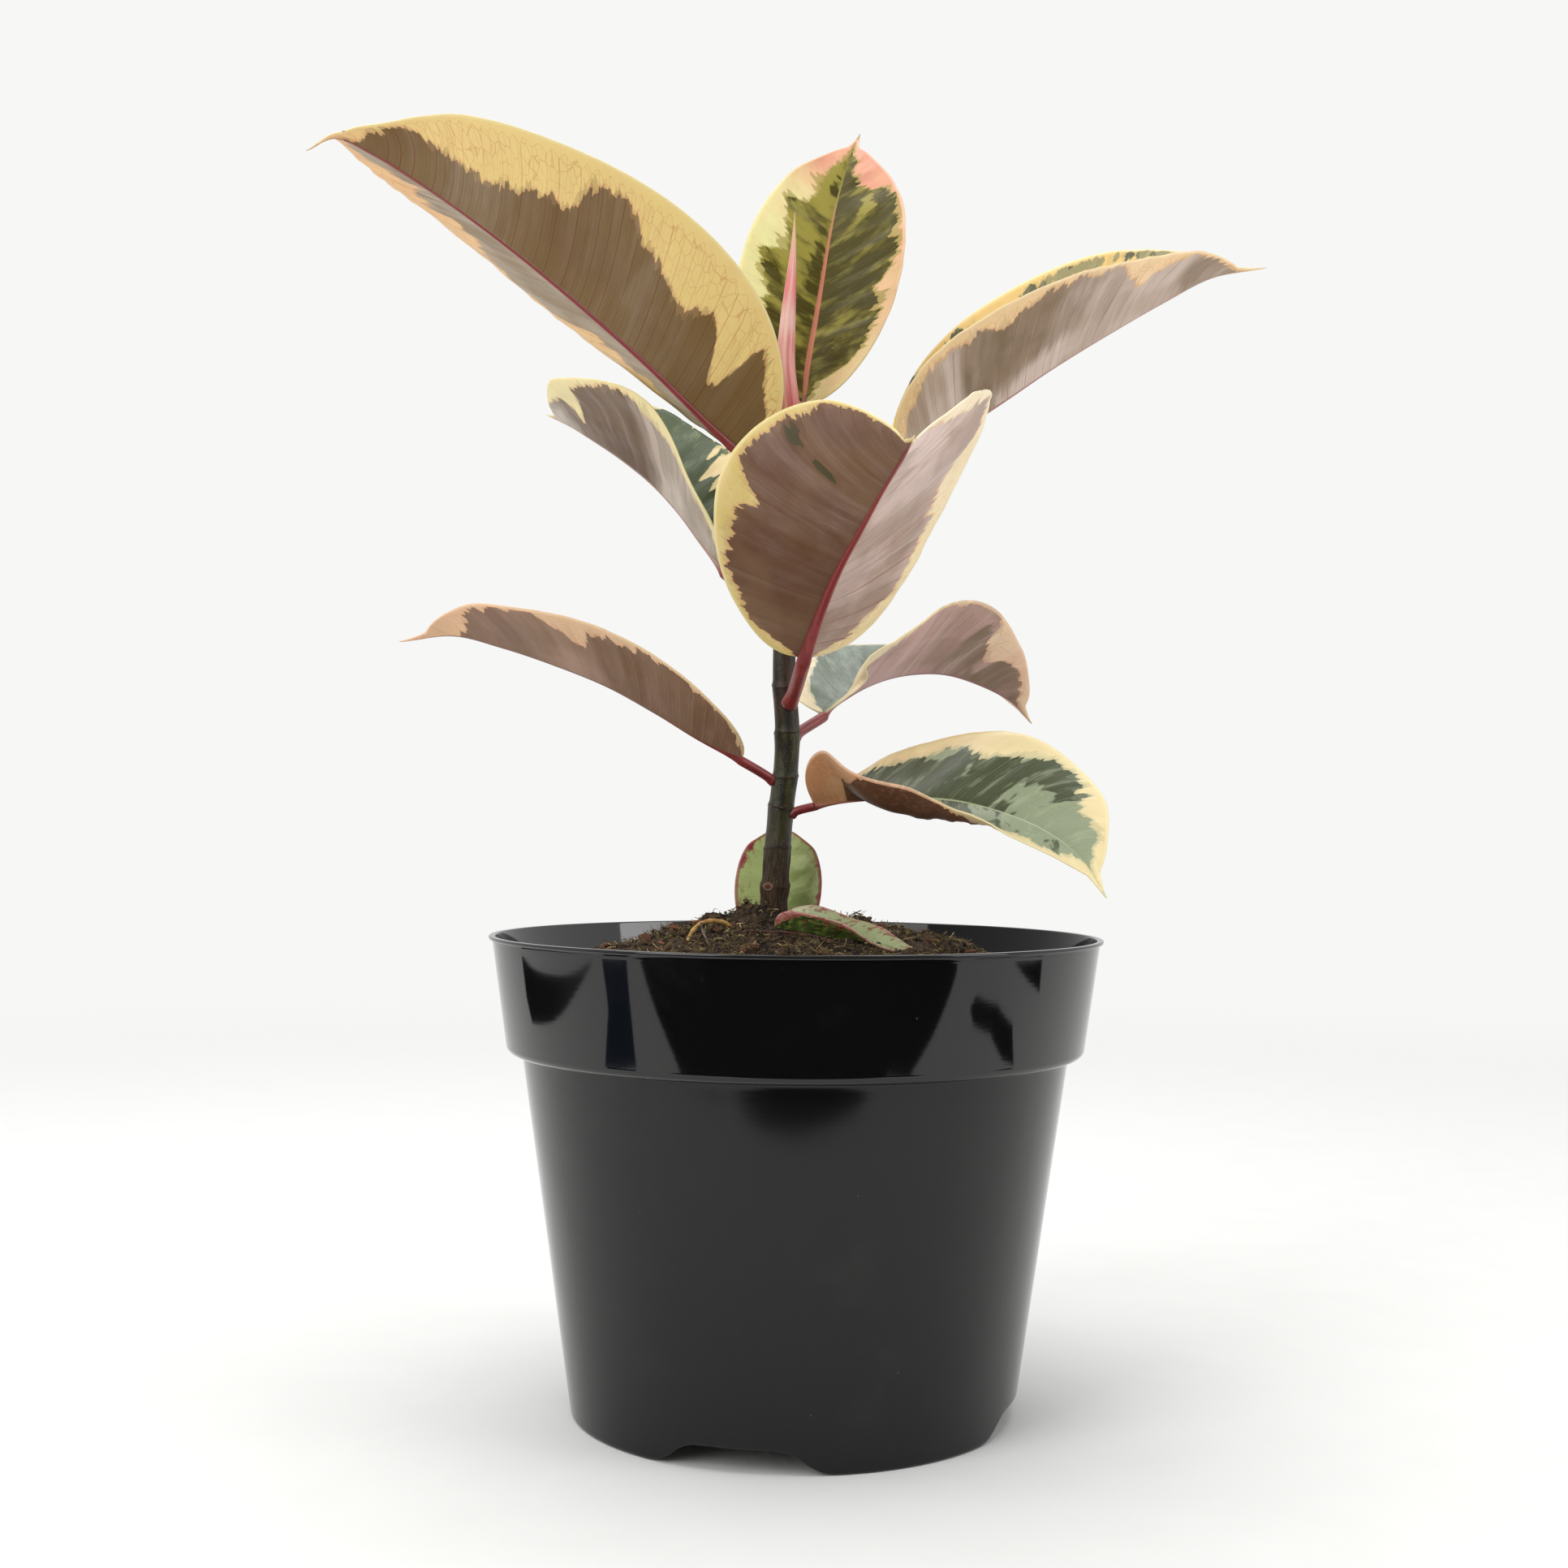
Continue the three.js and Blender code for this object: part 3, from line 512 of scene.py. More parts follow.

# %% [markdown]
# ## What a leaf is
# Each leaf is two halves that leave the midrib at an angle (lift) and then curl (turn). Both change
# along the leaf. A flat sheet bent by modifiers would be quicker, but its halves couldn't roll, cup and
# tip over each in its own way, as they do on the real plant. The shape's other words are:
# rib, the midrib's line; faces, the way that the upper side looks; bow, the outline's swell at base and
# tip, where less is fuller; wave, the size, count and phase of the ripple along the margins; full, how
# much wider or narrower than usual a half is; pleat and furrow, how deep it folds along and across its
# veins; height and azimuth, where the stalk leaves the stem, in mm and degrees; petiole_radius, the
# stalk's radius; keel, the share of it that the midrib keeps; and blend, where along the midrib the
# stalk's red ends. All that the solid model has too is the same there, so the fine leaf lies where its
# solid does.

# %% [markdown]
# ## How a leaf is painted
# A picture could be laid over each leaf, but it would fit one view alone. Here each half says how its
# paint changes along it, and the shader adds the teeth, veins and specks. green is how far out from
# the midrib the green heart reaches, at even steps from base to tip: 0 is the midrib, 1 the margin, and
# below 0 there is none. tone runs from the brown of a young underside (0) to its greyish mauve (1), and
# blush from a cream margin (0) to a salmon one (1). patches are further spots, each with what it is,
# its place along and across, and its half sizes: green or cream ones change the heart, light, dark or
# moss ones its tone.
#
# Each side has two colours for the heart (over and under), its veins (pale and vein) and its midrib
# (rib_skin, above and below). cream and salmon colour the margin, rim its very edge, trace the fine
# veins in it and tint the broad clouds of colour on the underside. rim is the small leaves' own red or
# pink line; on the others it is a pale line, partly the margin's own and partly a painted edge
# highlight. The rest are amounts: sheen of the greyish highlight painted in streaks, ghost of the
# half-tone patches, net and lines of the fine and main veins, stir and soft of the feathers, fleck and
# blotch of small and large spots, gloss of the upper side. rib_half and specks are in millimetres: half
# the midrib's width above, and the distance between two specks.

# %% Leaf measures
LEAVES = [{
    "name": "leaf_1", "height": 159, "azimuth": -20, "petiole_radius": 1.2, "keel": 0.3, "blend": 0.03,
    "rib": [
        [5, -2, 162], [14, -9, 163], [27, -17, 163.5], [40, -23, 163],
        [52, -29, 160], [63, -36, 155], [71, -44, 148], [76, -50, 139],
    ],
    "faces": [[0.1, -0.25, 0.96], [0.05, -0.35, 0.94], [0.04, -0.36, 0.93]],
    "bow": (0.5, 0.62),
    "left": {
        "width": 26, "lift": [24, 25, 35, 31], "turn": [0, 7],
        "green": [
            0.5, 0.72, 0.78, 0.75, 0.72, 0.74, 0.76, 0.7, 0.56, 0.68, 0.85,
            0.9, 0.86, 0.72, 0.6, 0.55, 0.62, 0.42, 0.05, -0.3, -0.6,
        ],
        "tone": [0.2, 0.1, 0.05, 0.1, 0.4, 0.85, 0.9, 0.85], "blush": [0.3, 0.15, 0.0, 0.0, 0.05],
    },
    "right": {
        "width": 26,
        "lift": [38, 42, -13, -35, -23, -5, 6, 12, 14], "turn": [24, 22, 90, 115, 80, 45, 12, 0, 0],
        "green": [
            -0.3, -0.3, -0.1, 0.6, 0.99, 1, 1, 1, 0.98, 0.9, 0.75,
            0.66, 0.6, 0.62, 0.66, 0.74, 0.6, 0.2, -0.1, -0.4, -0.6,
        ],
        "tone": [0.1, 0.0, 0.2, 0.4, 0.8, 0.85, 0.8], "blush": [1.0, 0.9, 0.1, 0.0, 0.0],
    },
    "wave": (0.8, 2.5, 0.4), "lines": 0.5,
    "patches": [
        ("dark", 0.6, -0.68, 0.13, 0.2), ("dark", 0.5, -0.1, 0.05, 0.12),
        ("light", 0.3, -0.72, 0.06, 0.1),
    ],
    "under": ("#543723", "#8e5c4c"), "tint": "#6a4834", "sheen": 0.1, "ghost": 0.35, "net": 0.3,
    "trace": "#e2b493", "fleck": 0.4, "rib_half": 0.25,
    "over": ("#3d482c", "#8d987a"), "pale": "#bfc7a6", "rib_skin": ("#a9b388", "#8e5a42"),
    # Its salmon is darker than the margin's own: painted shade on the rolled base, whose underside faces
    # down, away from the light.
    "cream": "#e8d7a4", "salmon": "#bd865c", "vein": "#7a4a3a",
}, {
    "name": "leaf_2", "height": 168, "azimuth": -160, "petiole_radius": 1.3, "keel": 0.3,
    "rib": [
        [-15, -6, 174], [-26, -8, 179], [-38, -9, 186], [-51, -10, 193],
        [-65, -11, 198.5], [-79, -12, 203], [-92, -12, 206], [-106, -13, 204],
    ],
    "faces": [[0.3, 0.15, 0.94], [0.3, 0.1, 0.95], [0.3, 0.15, 0.94]],
    "bow": (0.53, 0.53),
    "left": {
        "width": 24.5, "lift": [20, 25, 20, 26], "turn": [0, 2], "pleat": 0.15,
        "green": [
            0.5, 0.85, 0.95, 0.95, 0.95, 0.93, 0.9, 0.87, 0.8, 0.55, 0.8,
            0.97, 0.97, 0.93, 0.85, 0.78, 0.3, -0.1, -0.3, -0.5, -0.6,
        ],
        "tone": [0.55, 0.3, 0.25, 0.75, 0.3, 0.35, 0.15], "blush": [0.2, 0.5, 0.7, 0.8, 0.9],
    },
    "right": {
        "width": 24.5, "lift": [26, 28, 24, 22], "turn": [6, 4],
        "green": [
            0.5, 0.9, 0.97, 0.97, 0.97, 0.97, 0.97, 0.97, 0.93, 0.85, 0.95,
            0.97, 0.97, 0.97, 0.95, 0.8, 0.4, -0.2, -0.4, -0.5, -0.6,
        ],
        "tone": [0.3, 0.4, 0.5], "blush": [0.2, 0.4, 0.9],
    },
    "wave": (0.7, 2, 1.5), "patches": [],
    "under": ("#6e4c33", "#ab8975"), "tint": "#7d5f42", "sheen": 0.14, "lines": 0.35, "ghost": 0.2,
    "net": 0.25,
    "over": ("#47502f", "#8f9a6d"), "pale": "#cfd0a6", "rib_skin": ("#9a9a6a", "#7a5548"),
    "cream": "#e6cda4", "salmon": "#dfb18c", "vein": "#a5826a",
}, {
    "name": "leaf_3", "height": 180, "azimuth": 52, "petiole_radius": 1.5, "keel": 0.3,
    "rib": [
        [7, 10, 187], [11, 18, 190.5], [20, 24, 196], [30, 30, 199.5],
        [42, 36, 200.5], [53, 42, 198], [64, 48, 193], [70, 52, 187],
    ],
    "faces": [[0, -0.03, 1], [-0.06, 0.05, 1], [-0.05, 0.05, 1]],
    "bow": (0.52, 0.5),
    "left": {
        "width": 25, "lift": [22, 30, 26, 24], "turn": [0, 2],
        "green": [
            0, 0.3, 0.6, 0.9, 0.97, 1, 1, 1, 1, 0.97, 0.9,
            0.85, 0.8, 0.8, 0.7, 0.5, 0.3, 0.1, -0.1, -0.3, -0.5,
        ],
        "tone": [0.3, 0.4, 0.5, 0.6], "blush": [0.0, 0.1, 0.4, 0.9],
    },
    "right": {
        "width": 25, "lift": [30, 30, 42, 34], "turn": [3, 10], "full": [1, 1, 1, 1.03, 0.86, 0.82],
        "pleat": 0.3,
        "green": [
            -0.2, 0, 0.25, 0.65, 0.87, 0.95, 0.97, 0.98, 0.98, 0.98, 1,
            0.95, 0.55, 0.36, 0.56, 0.66, 0.62, 0.5, 0.1, -0.3, -0.5,
        ],
        "tone": [0.9, 1.0, 1.0, 0.8, 0.5, 0.15, 0.35, 0.3], "blush": [0.1, 0.2, 0.6, 0.9, 0.5],
    },
    "wave": (0.9, 2, 0.2),
    # Its light patch is painted sheen, a pale streak of highlight across the near half; the dark patch is its
    # own olive.
    "patches": [("light", 0.66, 0.35, 0.03, 0.3), ("dark", 0.55, 0.55, 0.04, 0.28)],
    "under": ("#7b6750", "#c49e95"), "tint": "#937a66", "sheen": 0.6, "stir": 1.2, "ghost": 0.4,
    "net": 0.25,
    "soft": 0.3,
    "over": ("#5a6653", "#8c968a"), "pale": "#b9bfb2", "rib_skin": ("#8f9a78", "#a2726f"),
    "cream": "#ecdcb2", "salmon": "#f0c8ac", "vein": "#8a4f4c",
}, {
    "name": "leaf_4", "height": 189, "azimuth": -72, "petiole_radius": 1.95, "keel": 0.95,
    "rib": [
        [1, -20, 200], [5, -27, 211], [9.5, -38, 221], [14.5, -52, 229],
        [18.5, -67, 235], [21.5, -82, 238.5], [23, -97, 240], [24, -110, 241],
    ],
    "faces": [[-0.15, 0.37, 0.92], [-0.33, 0.31, 0.89], [-0.05, 0.4, 0.92]],
    "bow": (0.45, 0.55),
    "left": {
        "width": 36.5, "lift": [15, 23, 25, 30, 45], "turn": [0, 8], "full": [0.95, 1.24, 0.86],
        "pleat": 0.5,
        "green": [
            0.4, 0.7, 0.84, 0.88, 0.86, 0.8, 0.78, 0.82, 0.93, 0.96, 0.95,
            0.92, 0.88, 0.78, 0.66, 0.66, 0.7, 0.72, 0.6, 0.1, -0.5,
        ],
        "tone": [0.45, 0.55, 0.7, 0.7, 0.85, 1.0, 1.0], "blush": [0.4, 0.7, 0.9, 0.9, 0.9],
    },
    "right": {
        "width": 36, "lift": [6, 22, 38, 55], "turn": [-4, 12], "full": [0.8, 1.03, 0.88], "pleat": 0.15,
        "green": [
            0.45, 0.85, 0.9, 0.92, 0.9, 0.88, 0.86, 0.72, 0.9, 0.94, 0.92,
            0.9, 0.9, 0.94, 0.95, 0.95, 0.94, 0.92, 0.9, 0.7, -0.3,
        ],
        "tone": [0.0, 0.05, 0.12, 0.15, 0.12, 0.12, 0.08], "blush": [0.0, 0.1, 0.0, 0.0, 0.0],
    },
    "wave": (0.6, 1.5, 2),
    "patches": [("moss", 0.56, 0.79, 0.024, 0.15), ("moss", 0.548, 0.4, 0.012, 0.15)],
    "under": ("#6a4b38", "#e6cbc1"), "tint": "#826649", "sheen": 0.6, "ghost": 0.25, "net": 0.2,
    "stir": 0.45,
    "lines": 0.5,
    "over": ("#454d2c", "#8f9a6d"), "pale": "#cfd0a6", "rib_skin": ("#c98a70", "#7d2422"),
    "cream": "#d8c078", "salmon": "#fdeac8", "vein": "#752f29", "rim": "#fbeed2",
}, {
    "name": "leaf_5", "height": 216, "azimuth": 158, "petiole_radius": 1.6, "keel": 0.3,
    "rib": [
        [-20, 7, 226], [-27, 11, 234.5], [-34, 17, 244], [-42, 23.5, 253],
        [-51, 30.5, 261], [-60, 38.5, 268], [-68, 47, 274], [-76, 56, 279],
    ],
    "faces": [[0.54, -0.25, 0.8], [0.6, -0.17, 0.78], [0.52, -0.3, 0.8]],
    "bow": (0.49, 0.44),
    "left": {
        "width": 27.5, "lift": [36, 42, 35, 22], "turn": [0, -8], "furrow": 0.3,
        "green": [
            0.2, 0.6, 0.75, 0.8, 0.78, 0.8, 0.84, 0.9, 0.94, 0.95, 0.95,
            0.92, 0.84, 0.6, 0.28, 0.6, 0.7, 0.92, 0.9, 0.5, -0.3,
        ],
        # The brown band in this tone, low in the middle, is partly the underside's own brown and partly
        # painted shade of the folds along the leaf.
        "tone": [1.0, 1.0, 0.9, 0.1, 0.0, 0.15, 0.9, 0.6], "blush": [0.0, 0.0, 0.1, 0.0],
    },
    "right": {
        "width": 28.5, "lift": [44, 45, 45, 40], "turn": [0, 0],
        "green": [
            0.5, 0.9, 1, 1.05, 1.05, 1.05, 1.05, 1.05, 1.05, 1.05, 1.05,
            1.05, 1, 0.98, 0.95, 0.95, 0.9, 0.8, 0.5, 0, -0.4,
        ],
        "tone": [0.1, 0.0, 0.1, 0.2, 0.3], "blush": [0.4, 0.6, 0.5, 0.2],
    },
    "wave": (1, 2, 3), "patches": [("cream", 0.29, 0.8, 0.05, 0.3)],
    "under": ("#604835", "#c4b8aa"), "tint": "#84705c", "sheen": 0.8, "stir": 1.2, "ghost": 0.35,
    "net": 0.08,
    "lines": 0.35, "gloss": 0.15, "blend": 0.05, "soft": 0.2,
    "over": ("#3c4a24", "#7a864c"), "pale": "#a0a87a", "rib_skin": ("#7e8a5a", "#a8877c"),
    "cream": "#e8dba6", "salmon": "#f0cf98", "vein": "#6d5548",
}, {
    "name": "leaf_6", "height": 226, "azimuth": 8, "petiole_radius": 1.9, "keel": 0.3,
    "rib": [
        [28, 4, 256], [40, 4, 263], [54.5, 4.5, 272.5], [69, 5, 282.5],
        [84, 5.5, 292], [100, 6, 301.5], [114, 7.5, 309], [129, 9, 312],
    ],
    "faces": [[-0.47, -0.18, 0.87], [-0.44, -0.32, 0.84], [-0.45, -0.31, 0.84]],
    "bow": (0.45, 0.63),
    "left": {
        "width": 32.5, "lift": [43, 45, 43, 42], "turn": [2, 2], "full": [0.92, 0.94, 1], "pleat": 0.1,
        "green": [
            0.3, 0.5, 0.6, 0.65, 0.65, 0.65, 0.65, 0.68, 0.68, 0.68, 0.7,
            0.7, 0.7, 0.7, 0.65, 0.55, 0.4, 0.2, -0.1, -0.4, -0.5,
        ],
        "tone": [0.2, 0.2, 0.3, 0.6, 0.7], "blush": [0.0, 0.1, 0.1, 0.2],
    },
    "right": {
        "width": 32.5, "lift": [52, 48, 39, 35], "turn": [6, 0], "pleat": 0.45,
        "green": [
            0.3, 0.75, 0.9, 0.9, 0.9, 0.77, 0.85, 0.93, 0.95, 0.95, 0.95,
            0.76, 0.6, 0.8, 0.92, 0.88, 0.84, 0.7, 0.45, -0.1, -0.5,
        ],
        "tone": [1.0, 1.0, 0.15, 0.1, 0.5, 0.9, 0.95, 0.25, 0.45, 1.0],
        "blush": [0.8, 0.85, 0.9, 0.85, 0.8],
    },
    "wave": (0.5, 2, 0),
    "patches": [
        ("green", 0.1, -0.93, 0.03, 0.07), ("green", 0.22, -0.88, 0.03, 0.07),
        ("green", 0.4, -0.84, 0.03, 0.08),
        ("green", 0.5, -0.88, 0.09, 0.06), ("green", 0.7, -0.9, 0.08, 0.07),
        ("light", 0.52, -0.88, 0.1, 0.1),
        ("light", 0.5, 0.0, 0.34, 0.42),
    ],
    "under": ("#7b6549", "#d0bbad"), "tint": "#a0866f", "sheen": 0.6, "stir": 0.9, "ghost": 0.3,
    "net": 0.35,
    "over": ("#4a4a24", "#8f8552"), "pale": "#c9bd80", "rib_skin": ("#e0c88c", "#b38a80"),
    "cream": "#deb862", "salmon": "#f6d3a6", "vein": "#856054", "rim": "#fbe3bb",
}, {
    "name": "leaf_7", "height": 240, "azimuth": -150, "petiole_radius": 1.9, "keel": 0.6,
    "rib": [
        [-13, -4, 254], [-25, -12, 263.5], [-40, -23, 276], [-56, -34, 288], [-72, -45, 299],
        [-88, -57, 308.5], [-103, -69, 315.5], [-110, -77, 316.5], [-115, -84, 311],
    ],
    "faces": [[0.12, 0.47, 0.88], [0.04, 0.54, 0.84], [0.1, 0.49, 0.87]],
    "bow": (0.44, 0.62),
    "left": {
        "width": 35.5, "lift": [34, 27, 14, 16], "turn": [5, -5], "pleat": 0.15,
        "green": [
            0.5, 0.65, 0.82, 0.25, 0.6, 0.47, 0.56, 0.66, 0.82, 0.78, 0.5,
            0.53, 0.46, 0.36, 0.4, 0.5, 0.8, 0.62, 0.1, -0.2, -0.4,
        ],
        "tone": [0.0, 0.1, 0.3, 0.1, 0.35, 0.1, 0.3], "blush": [0.0, 0.0, 0.0, 0.0, 0.1, 0.8],
    },
    "right": {
        "width": 36, "lift": [38, 38, 37, 30], "turn": [10, 5], "pleat": 0.5,
        "green": [
            0.5, 0.75, 0.7, 0.6, 0.45, 0.4, 0.4, 0.9, 0.85, 0.75, 0.6,
            0.5, 0.4, 0.55, 0.45, 0.15, 0.5, 0.6, 0.1, -0.2, -0.5,
        ],
        "tone": [0.9, 1.0, 0.9, 0.8, 0.9], "blush": [0.5, 0.6, 0.7, 0.8, 0.9],
    },
    "wave": (0.5, 1.5, 1), "patches": [],
    "under": ("#765b37", "#ab9a80"), "tint": "#80653d", "sheen": 0.3, "ghost": 0.6, "net": 0.5,
    "stir": 0.6,
    "lines": 0.85,
    "over": ("#4c5630", "#8f9a60"), "pale": "#cfd0a6", "rib_skin": ("#c7b184", "#872f35"),
    "cream": "#edd088", "salmon": "#e8b98a", "vein": "#78321f",
}, {
    "name": "leaf_8", "height": 252, "azimuth": 97, "petiole_radius": 1.5, "keel": 0.6,
    "rib": [
        [1, 11, 273], [2, 14, 284], [4, 18, 297], [6, 21.5, 310],
        [8, 25, 323.5], [10.5, 30, 337], [14, 34.5, 350], [17, 40, 359],
    ],
    "faces": [[-0.12, -0.93, 0.34], [-0.16, -0.93, 0.34], [-0.15, -0.93, 0.34]],
    "bow": (0.47, 0.63),
    "left": {
        "width": 24, "lift": [21, 18, 16, 18], "turn": [0, -4],
        "green": [
            0.2, 0.4, 0.55, 0.66, 0.7, 0.68, 0.6, 0.72, 0.74, 0.55, 0.52,
            0.56, 0.8, 0.45, 0.36, 0.42, 0.34, 0.22, 0.12, 0.02, -0.5,
        ],
        "tone": [0.3, 0.35, 0.45, 0.6, 0.72, 0.75, 0.6], "blush": [0.1, 0.0, 0.0, 0.2, 0.9, 1.0],
    },
    "right": {
        "width": 26.2, "lift": [20, 21, 20, 22], "turn": [0, 0], "full": [0.84, 1, 1.03], "pleat": 0.35,
        "green": [
            0.1, 0.25, 0.75, 0.8, 0.85, 0.76, 0.72, 0.9, 0.93, 0.84, 0.92,
            0.94, 0.95, 0.9, 0.5, 0.3, 0.25, 0.24, 0.14, 0.03, -0.5,
        ],
        "tone": [0.5, 0.3, 0.2, 0.2, 0.25, 0.3, 0.4], "blush": [0.2, 0.6, 0.75, 0.9, 1.0, 1.0],
    },
    "wave": (0.4, 2, 0.5),
    "patches": [
        ("light", 0.62, 0.5, 0.06, 0.12), ("light", 0.7, 0.72, 0.05, 0.12),
        ("dark", 0.62, -0.74, 0.03, 0.1),
        ("dark", 0.2, -0.5, 0.05, 0.24), ("dark", 0.36, -0.6, 0.04, 0.16),
        ("dark", 0.46, -0.1, 0.13, 0.1),
        ("dark", 0.3, -0.2, 0.05, 0.2), ("dark", 0.75, -0.1, 0.04, 0.12),
        ("dark", 0.12, -0.25, 0.06, 0.2),
    ],
    "under": ("#6f5b48", "#b5a99b"), "tint": "#6c6040", "sheen": 0.3, "ghost": 0.9, "net": 0.12,
    "gloss": 0.12, "soft": 0.35,
    "over": ("#484012", "#958b3e"), "pale": "#98944e", "rib_skin": ("#ca7e68", "#8e4a44"),
    "rib_half": 0.55,
    "cream": "#dfda9c", "salmon": "#dc9880", "vein": "#8a3a34",
}]
BASE_LEAVES = [{
    "name": "small_leaf_back", "node": "base_leaf_back",
    "rib": [[-6, 9, 122], [-5.6, 11, 132], [-5, 13, 141], [-4.4, 14.5, 150], [-4, 15, 157.5]],
    "faces": [[0, -1, 0.2]],
    "bow": (0.42, 0.42),
    "left": {
        "width": 12, "lift": [12, 8], "turn": [6, 6],
        "green": [1, 1, 0.96, 0.99, 0.8, 0.97, 1, 0.95], "tone": [0.8, 0.9], "blush": [1.0],
    },
    "right": {
        "width": 12.4, "lift": [10, 6], "turn": [8, 8],
        # This half's lower tone is painted shade: it lies in shade and looks greyer than the left half.
        "green": [1, 0.99, 0.98, 1, 0.97, 1, 0.98, 0.9], "tone": [0.5, 0.6], "blush": [1.0],
    },
    "wave": (0.4, 1.5, 0), "patches": [("cream", 0.7, -0.95, 0.07, 0.14)],
    "under": ("#7f8c50", "#9fae6a"), "tint": "#8d9b5a", "sheen": 0.1, "ghost": 0.2, "net": 0.0,
    "over": ("#98a860", "#b3c27c"), "pale": "#ccd79e", "rib_skin": ("#b5c48e", "#8d9b5a"),
    "cream": "#b5685c", "salmon": "#8f2f38", "vein": "#66743f", "rim": "#a34a4c", "specks": 1.5,
    "blotch": 0.35,
}, {
    "name": "small_leaf_front", "node": "base_leaf_front",
    "rib": [
        [-5.5, -15, 129.5], [3, -19.5, 128.2], [12, -22.5, 126.8], [21, -24.5, 125.6], [30, -25.5, 125],
    ],
    "faces": [[0.1, -0.15, 1], [0.05, -0.2, 1], [0.1, -0.4, 0.9]],
    "bow": (0.36, 0.5),
    "left": {
        "width": 8, "lift": [50, 46, 34, 22, 12], "turn": [14, 10],
        "green": [0.97, 0.98, 0.93, 0.97, 0.8, 0.9, 0.5], "tone": [0.8, 0.9], "blush": [0.8],
    },
    "right": {
        "width": 6.6, "lift": [66, 62, 48, 14, -14], "turn": [10, 4],
        "green": [0.3, 0.75, 0.96, 0.9, 0.95, 0.75, 0.85, 0.4], "tone": [0.2, 0.3, 0.4, 0.9],
        "blush": [0.9],
    },
    "wave": (0.5, 1.5, 1), "patches": [],
    # Its underside runs from a dark green, painted shade where the fold lies in shade, to a lighter green,
    # painted light that shines through the blade.
    "under": ("#2f3a1a", "#7f9244"), "tint": "#4f6028", "sheen": 0.0, "ghost": 0.8, "net": 0.0,
    "stir": 2.6,
    "over": ("#86945f", "#adb98b"), "pale": "#c4cea8", "rib_skin": ("#b3bd92", "#5f6c3b"),
    "cream": "#e6c8bb", "salmon": "#b86a60", "vein": "#4c5a28", "rim": "#c98a84", "fleck": 0.7,
    "specks": 1.8, "blotch": 0.75,
}]
lengths = [round(float(Line(leaf["rib"]).length)) for leaf in LEAVES + BASE_LEAVES]
print(len(lengths), "leaves described, with midribs", lengths, "mm long")

# %% [markdown]
# ## A leaf's shape
# The lateral veins of a rubber plant's leaf leave the midrib almost square and lean towards the tip as
# they near the margin. Lines of bump could show them, but they vanish at the outline and in a mesh. So
# the rows of the leaf's mesh follow them: station says where a row leaves the midrib, and its points
# further out lie further along. Then veins can be real ridges, one or two rows wide, and the ragged
# edge of the green heart, which stops from vein to vein, can follow them too.

# %% Leaf outline and surface
DRIP_TIP_SHARE = 0.075
DRIP_TIP_HALF = 1.9
DRIP_TIP_END = 0.14
TIP_HOLLOW = 0.28  # how much the outline hollows in before the drip tip
TIP_HOLLOW_START = 0.84


def half_width(leaf, half, u):
    """How wide a half is at shares of the leaf's length: a bow that ends in a thin drip tip."""
    share = np.clip(u / (1 - DRIP_TIP_SHARE), 0, 1)
    base, tip = leaf["bow"]
    widest = base / (base + tip)
    outline = (share / widest) ** base * ((1 - share) / (1 - widest)) ** tip
    outline = outline * (1 - TIP_HOLLOW * soft_step(share, TIP_HOLLOW_START, 1))
    left_over = np.clip((1 - u) / DRIP_TIP_SHARE, 0, 1)
    drip = DRIP_TIP_END + (DRIP_TIP_HALF - DRIP_TIP_END) * left_over**1.6 * soft_step(u, 0.3, 0.9)
    return np.hypot(half["width"] * outline * along(half.get("full", [1.0]), u), drip)


def rib_frame(leaf, u):
    """Middle, forward, up and right along the midrib, at shares of its length."""
    line = Line(leaf["rib"])
    forward = line.forward(u)
    up = along(leaf["faces"], u)
    up = unit(up - np.sum(up * forward, -1, keepdims=True) * forward)
    return line.at(u), forward, up, np.cross(forward, up)


def blade_places(leaf, u, v):
    """Places of the blade's middle surface. v runs from -1, the left margin, to 1, the right one."""
    middle, _, up, side = rib_frame(leaf, u)
    places = np.zeros(middle.shape)
    size, count, phase = leaf["wave"]
    ripple = size * v**2 * np.sin(2 * np.pi * count * u + phase + v) * np.sin(np.pi * u)
    for name, chosen in (("left", v < 0), ("right", v >= 0)):
        half = leaf[name]
        lift = np.radians(along(half["lift"], u))
        curl = np.radians(along(half["turn"], u)) * np.abs(v) / 2
        chord = np.abs(v) * half_width(leaf, half, u) * np.sinc(curl / np.pi)
        out = (np.sign(v) * chord * np.cos(lift + curl))[..., None] * side
        over = (chord * np.sin(lift + curl) + ripple)[..., None] * up
        places[chosen] = (middle + out + over)[chosen]
    return places


left_widths = [round(float(half_width(leaf, leaf["left"], np.linspace(0, 1)).max())) for leaf in LEAVES]
print("left halves are up to", left_widths, "mm wide")

# %% Rows that follow the veins
VEIN_LEAN = 0.13
VEIN_SPACING = 2.9
ROW_STEP = 0.62  # mm between the rows of a leaf's mesh
ROW_CROWDING = 0.72  # how much closer together the rows are at both ends
HALF_COLUMNS = 22
COLUMN_CROWDING = 1.25  # above 1 the columns are closer together near the midrib


def stations(count):
    """Even steps from base to tip that close up towards both ends."""
    t = np.linspace(0, 1, count)
    return t - ROW_CROWDING * np.sin(2 * np.pi * t) / (2 * np.pi)


